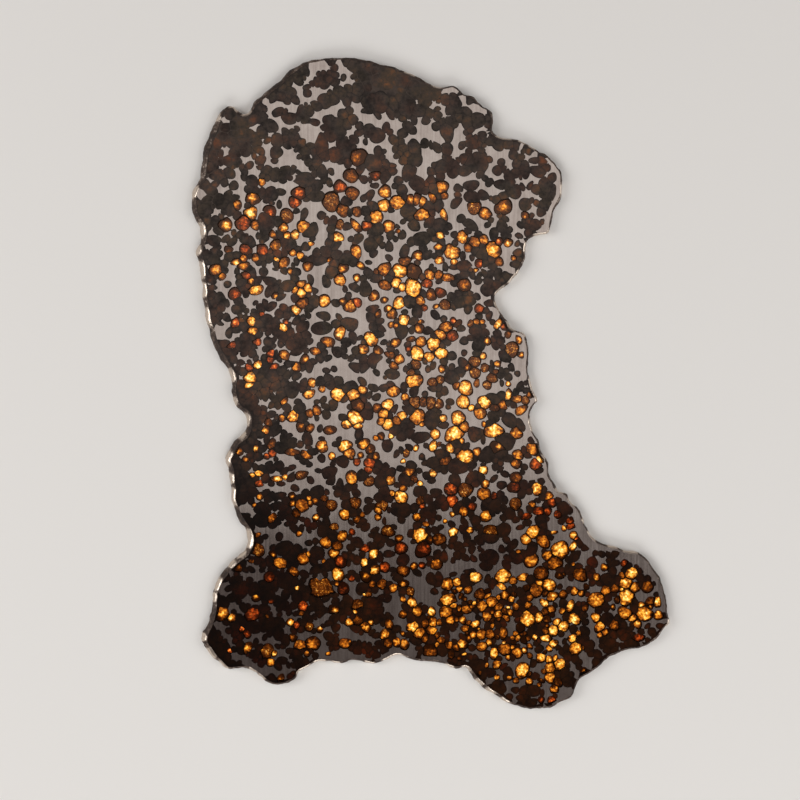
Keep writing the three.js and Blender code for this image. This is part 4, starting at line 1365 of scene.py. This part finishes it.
def clear_olivine(name, stops, absorbed, density, flecks):
    """Clear olivine, polished: cracked and grained glass, brightest in the middle of the glow.

    Flecks from 0 to 1 turn an even glow into specks and streaks in a dark crystal. Painted shade
    dims the glow towards the foot, and a painted grey-brown light is added to the glass high up.
    """
    finish, tree, shader = new_finish(name, {
        "Transmission Weight": 1.0, "IOR": OLIVINE_IOR, "Roughness": 0.1,
        "Specular IOR Level": 0.1, "Specular Tint": linear("#9a7a66")})
    place = add_node(tree, "ShaderNodeTexCoord").outputs["Object"]
    away = distance_from_core(tree, place, 3.0)
    tone = add_node(tree, "ShaderNodeAttribute", {"attribute_name": TONE}).outputs["Fac"]
    edge = add_node(tree, "ShaderNodeAttribute", {"attribute_name": EDGE}).outputs["Fac"]
    mottle = add_node(tree, "ShaderNodeTexNoise", None,
                      {"Scale": per_mm(1.0), "Detail": 3.0, "Roughness": 0.6, "Vector": place})
    facets = add_node(tree, "ShaderNodeTexVoronoi", None,
                      {"Scale": per_mm(1.1), "Vector": place}).outputs["Color"]
    cracks = add_node(tree, "ShaderNodeTexVoronoi", {"feature": "DISTANCE_TO_EDGE"},
                      {"Scale": per_mm(1.2), "Vector": place}).outputs["Distance"]
    lines = add_node(tree, "ShaderNodeMapRange", None,
                     {"From Min": 0.0, "From Max": 0.09, "To Min": 1.0, "To Max": 0.0,
                      "Value": cracks})
    middle = add_node(tree, "ShaderNodeMapRange", None,
                      {"From Min": 1.18, "From Max": 0.2, "To Min": 0.0, "To Max": 1.0,
                       "Value": away})
    specks = add_node(tree, "ShaderNodeTexNoise", None,
                      {"Scale": per_mm(1.0), "Detail": 4.0, "Roughness": 0.7, "Distortion": 1.0,
                       "Vector": place})
    flecked = add_node(tree, "ShaderNodeMapRange", None,
                       {"From Min": 0.53, "From Max": 0.6, "To Min": 1.0 - flecks, "To Max": 1.0,
                        "Value": specks})
    # Painted shade: the glow is dimmed a little towards the foot
    low = share_along(tree, place, "Y", *STONE_SHADE_SPAN)
    glow = weighted_sum(tree, [(tone, 1.1), (mottle, 2.0), (facets, 0.4), (lines, -0.15),
                               (low, -0.1)])
    glow = add_node(tree, "ShaderNodeMath", {"operation": "SUBTRACT", "use_clamp": True},
                    {0: glow, 1: 1.05})
    inside = add_node(tree, "ShaderNodeMath", {"operation": "SUBTRACT", "use_clamp": True},
                      {0: weighted_sum(tree, [(edge, 1.5), (specks, 2.0)]), 1: 1.12})
    for share in (middle, flecked, inside):
        glow = add_node(tree, "ShaderNodeMath", {"operation": "MULTIPLY"}, {0: glow, 1: share})
    colour = add_node(tree, "ShaderNodeValToRGB", {"stops": stops}, {"Fac": glow})
    # Painted light: a grey-brown is added to the glass's colour high up, fading out towards the
    # foot
    painted_light_high_up = add_node(tree, "ShaderNodeMath", {"operation": "SUBTRACT"},
                       {0: 1.0, 1: low})
    colour = add_node(tree, "ShaderNodeMix", {"data_type": "RGBA", "blend_type": "ADD"},
                      {"Factor": painted_light_high_up, 6: colour, 7: linear("#2b2321")}).outputs[2]
    tree.links.new(colour, shader.inputs["Base Color"])
    body = add_node(tree, "ShaderNodeVolumeAbsorption", None,
                    {"Color": linear(absorbed), "Density": density})
    tree.links.new(body.outputs[0], tree.nodes["Material Output"].inputs["Volume"])
    return finish


def olivine_rind():
    """The clouded rind where a clear crystal meets the metal: dark red-brown and dull."""
    finish, tree, shader = new_finish("clouded olivine rind", {"Roughness": 0.7})
    place = add_node(tree, "ShaderNodeTexCoord").outputs["Object"]
    clouds = add_node(tree, "ShaderNodeTexNoise", None,
                      {"Scale": per_mm(1.2), "Detail": 3.0, "Vector": place})
    colour = add_node(tree, "ShaderNodeValToRGB",
                      {"stops": [(0.35, "#1a0d07"), (0.7, "#4a220d")]}, {"Fac": clouds})
    tree.links.new(colour.outputs[0], shader.inputs["Base Color"])
    return finish


def dark_olivine():
    """Clouded olivine, polished: brown-black, with a browner heart in some crystals."""
    finish, tree, shader = new_finish("clouded dark olivine", {
        "Roughness": 0.22, "IOR": OLIVINE_IOR, "Specular IOR Level": 0.12})
    place = add_node(tree, "ShaderNodeTexCoord").outputs["Object"]
    away = distance_from_core(tree, place, 2.5)
    tone = add_node(tree, "ShaderNodeAttribute", {"attribute_name": TONE}).outputs["Fac"]
    edge = add_node(tree, "ShaderNodeAttribute", {"attribute_name": EDGE}).outputs["Fac"]
    grain = add_node(tree, "ShaderNodeTexNoise", None,
                     {"Scale": per_mm(1.4), "Detail": 5.0, "Roughness": 0.7, "Vector": place})
    broad = add_node(tree, "ShaderNodeTexNoise", None,
                     {"Scale": per_mm(6.5), "Detail": 3.0, "Vector": place})
    heart = add_node(tree, "ShaderNodeMapRange", {"interpolation_type": "SMOOTHSTEP"},
                     {"From Min": 1.5, "From Max": 0.1, "To Min": 0.0, "To Max": 1.0,
                      "Value": away})
    brown = add_node(tree, "ShaderNodeMath", {"operation": "POWER"}, {0: tone, 1: 3.0})
    heart = add_node(tree, "ShaderNodeMath", {"operation": "MULTIPLY"}, {0: heart, 1: brown})
    mixed = weighted_sum(tree, [(heart, 0.3), (grain, 0.8), (edge, 0.22), (broad, 1.2)])
    mixed = add_node(tree, "ShaderNodeMath", {"operation": "SUBTRACT", "use_clamp": True},
                     {0: mixed, 1: 0.76})
    colour = add_node(tree, "ShaderNodeValToRGB",
                      {"stops": [(0.1, "#191412"), (0.3, "#2d2622"), (0.46, "#3d342f"),
                                 (0.62, "#4b3c33"), (0.95, "#754c33")]}, {"Fac": mixed})
    hue = add_node(tree, "ShaderNodeTexNoise", None,
                   {"Scale": per_mm(9), "Detail": 1.0, "Vector": place})
    hue = add_node(tree, "ShaderNodeValToRGB",
                   {"stops": [(0.38, "#ffe6de"), (0.5, "#ffffff"), (0.62, "#fdfcee")]},
                   {"Fac": hue})
    colour = add_node(tree, "ShaderNodeMix", {"data_type": "RGBA", "blend_type": "MULTIPLY"},
                      {"Factor": 1.0, 6: colour, 7: hue}).outputs[2]
    # Painted shade: the stone is darkened and reddened towards the foot and its left
    tree.links.new(painted_shade_low_down(tree, place, colour), shader.inputs["Base Color"])
    return finish


# Pieces


def lay_on(piece):
    """Puts a finished piece on the slice's body."""
    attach(piece, "root")


# The web's finishes, by their number on its faces
METAL, OXIDE, CRUST = 0, 1, 2


def web_points(rings, fronts, backs):
    """The rim's rings, each hole's outline in front and at the back, and where each starts."""
    points = list(rings)
    starts, total = [], len(rings) * len(rings[0])
    for front, back in zip(fronts, backs):
        starts.append(total)
        points.append(np.column_stack([front, np.full(len(front), THICKNESS)]))
        points.append(np.column_stack([back, np.zeros(len(back))]))
        total += 2 * len(front)
    return np.concatenate(points), starts


def web_faces(points, starts, rings, fronts, backs):
    """The web's two faces, its rim and the walls of its holes, and the finish of each face."""
    count = len(rings[0])
    top = count * (len(rings) - 1)
    front_of = list(range(top, top + count))
    back_of = list(range(count))
    for start, outline in zip(starts, fronts):
        front_of += range(start, start + len(outline))
        back_of += range(start + len(outline), start + 2 * len(outline))
    owners = np.repeat(np.arange(len(fronts) + 1), [count] + [len(loop) for loop in fronts])

    faces, finish = [], []
    for loops, rim, index, turned in ((fronts, rings[-1], front_of, False),
                                      (backs, rings[0], back_of, True)):
        triangles = np.array(face_triangles(rim[:, :2], loops))
        index = np.array(index)
        oxide = oxide_triangles(points[index][:, :2], owners, triangles)
        placed = index[triangles[:, [0, 2, 1]] if turned else triangles]
        faces += placed.tolist()
        finish += np.where(oxide, OXIDE, METAL).tolist()
    for level in range(len(rings) - 1):
        faces += ring_strip(level * count, (level + 1) * count, count)
    finish += [CRUST] * (len(faces) - len(finish))
    for start, outline in zip(starts, fronts):
        faces += ring_strip(start, start + len(outline), len(outline))
    finish += [OXIDE] * (len(faces) - len(finish))
    return faces, finish


def worn_places(points, rim_count):
    """How worn the rim's points are, which come first, and how rusty the others, from 0 to 1."""
    wear = np.zeros(len(points))
    rim = points[:rim_count, :2]
    for x, y, reach in WORN_RIM:
        away = np.linalg.norm(rim - on_face(x, y), axis=1) / (reach * PIXEL)
        wear[:rim_count] = np.maximum(wear[:rim_count], 1 - away * away)
    wear[rim_count:] = [in_rust(place) for place in points[rim_count:, :2]]
    return wear


class PALLASITE_OT_metal_web(bpy.types.Operator):
    """Build the nickel-iron web with its weathered rim"""

    bl_idname = "pallasite.metal_web"
    bl_label = "Nickel-iron web"

    def execute(self, context):
        settings = context.scene.pallasite
        rings = rim_rings()
        grown = crystal_pattern()
        fronts = [outline for _, outline, _ in grown]
        backs = [back_outline(crystal, outline, settings) for crystal, outline, _ in grown]
        points, starts = web_points(rings, fronts, backs)
        faces, finish = web_faces(points, starts, rings, fronts, backs)
        web = new_object("metal_web", points, faces,
                         [nickel_iron(), iron_oxide(), weathered_crust()], finish)
        crust = [kind == CRUST for kind in finish]
        web.data.polygons.foreach_set("use_smooth", crust)
        wear = worn_places(points, len(rings) * len(rings[0]))
        web.data.attributes.new(WEAR, "FLOAT", "POINT").data.foreach_set("value", wear)
        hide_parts("slice")
        lay_on(web)
        return {"FINISHED"}


def back_outline(crystal, outline, settings):
    """A crystal's outline on the back face."""
    taper = settings.dark_taper if crystal.tint == "dark" else settings.clear_taper
    return crystal.middle + (outline - crystal.middle) * taper


# The gap between a crystal and its hole, and how far its faces lie below the web's, so that they
# never meet, in millimetres
FIT_GAP = 0.004
FLUSH = 0.01
# How wide a crystal's dark border is in millimetres, and how pale it is against another crystal,
# from 0 to 1
EDGE_WIDTH = 0.6
TOUCHING_EDGE = 0.9
# The most of the way to its middle that a crystal's outline moves in
MOST_IN = 0.5
# A crystal's finishes, by their number on its faces
POLISHED, RIND = 0, 1


def ring_inside(ring, middle, width):
    """A ring of points pulled in towards a middle by a width, or by half where there's less."""
    away = ring - middle
    reach = np.linalg.norm(away, axis=1)[:, None]
    return ring - away * np.minimum(MOST_IN, width / reach)


def crystal_bodies(name, tint, finishes, settings):
    """All crystals of one tint as closed bodies in one mesh, each inside its hole in the web."""
    points, faces, finish, cores, tones, edges = [], [], [], [], [], []
    start = 0
    see_through = tint != "dark"
    for crystal, outline, touching in crystal_pattern():
        if crystal.tint != tint:
            continue
        count = len(outline)
        border = np.where(touching, TOUCHING_EDGE, 0.0)
        if in_rust(crystal.middle):
            border[:] = 1.0
        front = ring_inside(outline, crystal.middle, FIT_GAP)
        back = ring_inside(back_outline(crystal, outline, settings), crystal.middle, FIT_GAP)
        whole = np.ones(count)
        rings = [(ring_inside(front, crystal.middle, EDGE_WIDTH), THICKNESS - FLUSH, whole),
                 (front, THICKNESS - FLUSH, border),
                 (back, 2 * FLUSH, border if see_through else whole)]
        if see_through:
            rings.append((ring_inside(back, crystal.middle, EDGE_WIDTH), 2 * FLUSH, whole))
        for ring, height, edge in rings:
            points.append(np.column_stack([ring, np.full(count, height)]))
            cores.append((ring - crystal.core) / crystal.core_reach)
            edges += edge.tolist()
        last = start + (len(rings) - 1) * count
        faces.append(tuple(range(start, start + count)))
        faces.append(tuple(range(last + count - 1, last - 1, -1)))
        finish += [POLISHED] * 2
        for level in range(len(rings) - 1):
            low = start + (level + 1) * count
            faces += ring_strip(low, low - count, count)
            finish += [RIND if level == 1 else POLISHED] * count
        tones += [crystal.tone] * (len(rings) * count)
        start += len(rings) * count
    piece = new_object(name, np.concatenate(points), faces, finishes, finish)
    mesh = piece.data
    for label, values in ((TONE, tones), (EDGE, edges)):
        mesh.attributes.new(label, "FLOAT", "POINT").data.foreach_set("value", values)
    corners = np.empty(len(mesh.loops), int)
    mesh.loops.foreach_get("vertex_index", corners)
    spots = np.concatenate(cores)[corners] * CORE_SCALE + 0.5
    mesh.uv_layers.new(name=CORE_MAP).data.foreach_set("uv", spots.ravel())
    return piece


# The glow's colours by how bright it is
GOLD_GLOW = [
    (0.0, "#1a0902"), (0.08, "#3c1a04"), (0.18, "#5e2e0a"), (0.28, "#7f4512"), (0.38, "#a65c16"),
    (0.48, "#c5761d"), (0.58, "#e09227"), (0.68, "#f1b03a"), (0.78, "#face64"), (0.9, "#ffe9a6"),
    (1.0, "#fff6c8"),
]
RED_GLOW = [
    (0.0, "#1a0803"), (0.08, "#3a1405"), (0.18, "#5e220a"), (0.28, "#823510"), (0.4, "#b34a18"),
    (0.52, "#d2651f"), (0.66, "#ea8a34"), (0.8, "#f8ba5c"), (1.0, "#ffe9a4"),
]
# Each kind of clear crystal: its glow, the colour that its body gives to light and how densely,
# and how far its glow breaks up into flecks
GLOWS = {
    "gold": (GOLD_GLOW, "#ffe8c0", 60.0, 0.0),
    "amber": (GOLD_GLOW, "#ffdcb0", 70.0, 0.0),
    "red": (RED_GLOW, "#ffd0b0", 80.0, 0.0),
    "flecked": (GOLD_GLOW, "#ffe8c0", 60.0, 0.86),
}


class PALLASITE_OT_clear_crystals(bpy.types.Operator):
    """Build the clear olivine crystals: golden, amber, red and flecked ones"""

    bl_idname = "pallasite.clear_crystals"
    bl_label = "Clear crystals"

    def execute(self, context):
        rind = olivine_rind()
        for tint, look in GLOWS.items():
            glass = clear_olivine(f"clear {tint} olivine", *look)
            lay_on(crystal_bodies(f"{tint}_crystals", tint, [glass, rind],
                                  context.scene.pallasite))
        return {"FINISHED"}


class PALLASITE_OT_dark_crystals(bpy.types.Operator):
    """Build the clouded dark olivine crystals"""

    bl_idname = "pallasite.dark_crystals"
    bl_label = "Dark crystals"

    def execute(self, context):
        piece = crystal_bodies("dark_crystals", "dark", [dark_olivine(), olivine_rind()],
                               context.scene.pallasite)
        lay_on(piece)
        return {"FINISHED"}


# Stage

# How far the light panel stays inside the slice's rim and lies below it, and how far the floor
# lies below it, in millimetres
PANEL_INSET = 0.9
PANEL_DROP = 0.03
FLOOR_DROP = 0.06
# The panel's edge takes every so many points of the rim, smoothed over so many on either side
PANEL_STEP = 4
PANEL_REACH = 24
# The camera's focal length and the width of its sensor, in millimetres
LENS, SENSOR = 80.0, 36.0
# How wide the floor is and the nearest that the camera sees, in metres
FLOOR_SIZE = 6
NEAREST = 0.01
# The soft boxes: where each stands and the point it faces, in metres, how wide and how high it is,
# how bright it looks, and its colour
SOFT_BOXES = [
    ("soft_box_above", (0, 0.224, 1.3), (0, 0.224, 0), 1.1, 0.66, 0.56, "#fffaf6"),
    ("soft_box_left", (-1.3, 0.1, 0.9), (0, 0, 0), 1.0, 1.0, 3.5, "#ffffff"),
    ("soft_box_right", (1.3, -0.2, 0.9), (0, 0, 0), 1.0, 1.0, 2.8, "#ffffff"),
    ("soft_box_front", (0, -1.3, 0.8), (0, 0, 0), 1.4, 0.6, 3.6, "#ffffff"),
]


def paper(colour):
    """Matte paper: plain and dull."""
    return new_finish("matte paper", {"Base Color": (*colour, 1.0), "Roughness": 0.9})[0]


def panel_glow(colour, brightness):
    """A light panel's diffuser: an even warm white."""
    glow = bpy.data.materials.new("light panel")
    glow.use_nodes = True
    glow.node_tree.nodes.clear()
    lamp = add_node(glow.node_tree, "ShaderNodeEmission", None,
                    {"Color": (*colour, 1.0), "Strength": brightness})
    add_node(glow.node_tree, "ShaderNodeOutputMaterial", None, {"Surface": lamp})
    return glow


def soft_light(name, place, aim, width, height, radiance, colour):
    """A soft box at a place in metres that faces a point, as bright as asked to the eye."""
    bpy.ops.object.select_all(action="DESELECT")
    bpy.ops.object.light_add(type="AREA", location=place)
    light = bpy.context.object
    light.name = name
    light.rotation_euler = (Vector(aim) - Vector(place)).to_track_quat("-Z", "Y").to_euler()
    light.data.shape = "RECTANGLE"
    light.data.size, light.data.size_y = width, height
    light.data.energy = radiance * math.pi * width * height
    light.data.color = linear(colour)[:3]


class PALLASITE_OT_stage(bpy.types.Operator):
    """Set the floor, the light panel, the lights and the camera"""

    bl_idname = "pallasite.stage"
    bl_label = "Stage"

    def execute(self, context):
        scene = context.scene
        settings = scene.pallasite
        bpy.ops.object.select_all(action="DESELECT")
        bpy.ops.mesh.primitive_plane_add(size=FLOOR_SIZE, location=(0, 0, -FLOOR_DROP * MM))
        floor = context.object
        floor.name = "floor"
        floor.data.materials.append(paper(settings.floor_colour))

        outer = rim_rings()[-1]
        inward = outward(outer, PANEL_REACH) * -PANEL_INSET
        inner = (outer[:, :2] + inward)[::PANEL_STEP]
        panel_points = np.column_stack([inner, np.full(len(inner), -PANEL_DROP)])
        glow = panel_glow(settings.panel_colour, settings.panel_light)
        panel = new_object("light_panel", panel_points, [tuple(range(len(inner)))], [glow], [0])

        for soft_box in SOFT_BOXES:
            soft_light(*soft_box)

        world = bpy.data.worlds.new("studio")
        scene.world = world
        world.use_nodes = True
        world.node_tree.nodes.clear()
        sky = add_node(world.node_tree, "ShaderNodeBackground", None,
                       {"Color": linear("#fff2ee"), "Strength": 0.15})
        add_node(world.node_tree, "ShaderNodeOutputWorld", None, {"Surface": sky})

        aim_x, aim_y = on_face(PHOTO_MIDDLE, PHOTO_MIDDLE)
        height = THICKNESS / 2 + LENS / SENSOR * PHOTO_SIZE * PIXEL
        bpy.ops.object.camera_add(location=(aim_x * MM, aim_y * MM, height * MM),
                                  rotation=(0, 0, 0))
        camera = context.object
        camera.data.lens, camera.data.sensor_width = LENS, SENSOR
        camera.data.clip_start = NEAREST
        scene.camera = camera
        scene.view_settings.view_transform = "Standard"
        return {"FINISHED"}


class PALLASITE_PT_panel(bpy.types.Panel):
    """Lists the slice's pieces and settings."""

    bl_idname = "PALLASITE_PT_panel"
    bl_label = "Pallasite slice"
    bl_space_type = "VIEW_3D"
    bl_region_type = "UI"
    bl_category = "Pallasite"

    def draw(self, context):
        settings = context.scene.pallasite
        for name in PallasiteSettings.__annotations__:
            self.layout.prop(settings, name)
        for operator in OPERATORS:
            self.layout.operator(operator.bl_idname)


OPERATORS = (
    PALLASITE_OT_metal_web,
    PALLASITE_OT_clear_crystals,
    PALLASITE_OT_dark_crystals,
    PALLASITE_OT_stage,
)
CLASSES = (PallasiteSettings, *OPERATORS, PALLASITE_PT_panel)


def register():
    """Adds the classes and the slice's settings."""
    for cls in CLASSES:
        bpy.utils.register_class(cls)
    bpy.types.Scene.pallasite = bpy.props.PointerProperty(type=PallasiteSettings)


def unregister():
    """Takes the classes and the slice's settings away again."""
    del bpy.types.Scene.pallasite
    for cls in reversed(CLASSES):
        bpy.utils.unregister_class(cls)


def main():
    """Builds the slice and its stage."""
    register()
    bpy.ops.pallasite.metal_web()
    bpy.ops.pallasite.clear_crystals()
    bpy.ops.pallasite.dark_crystals()
    bpy.ops.pallasite.stage()


if __name__ == "__main__":
    main()
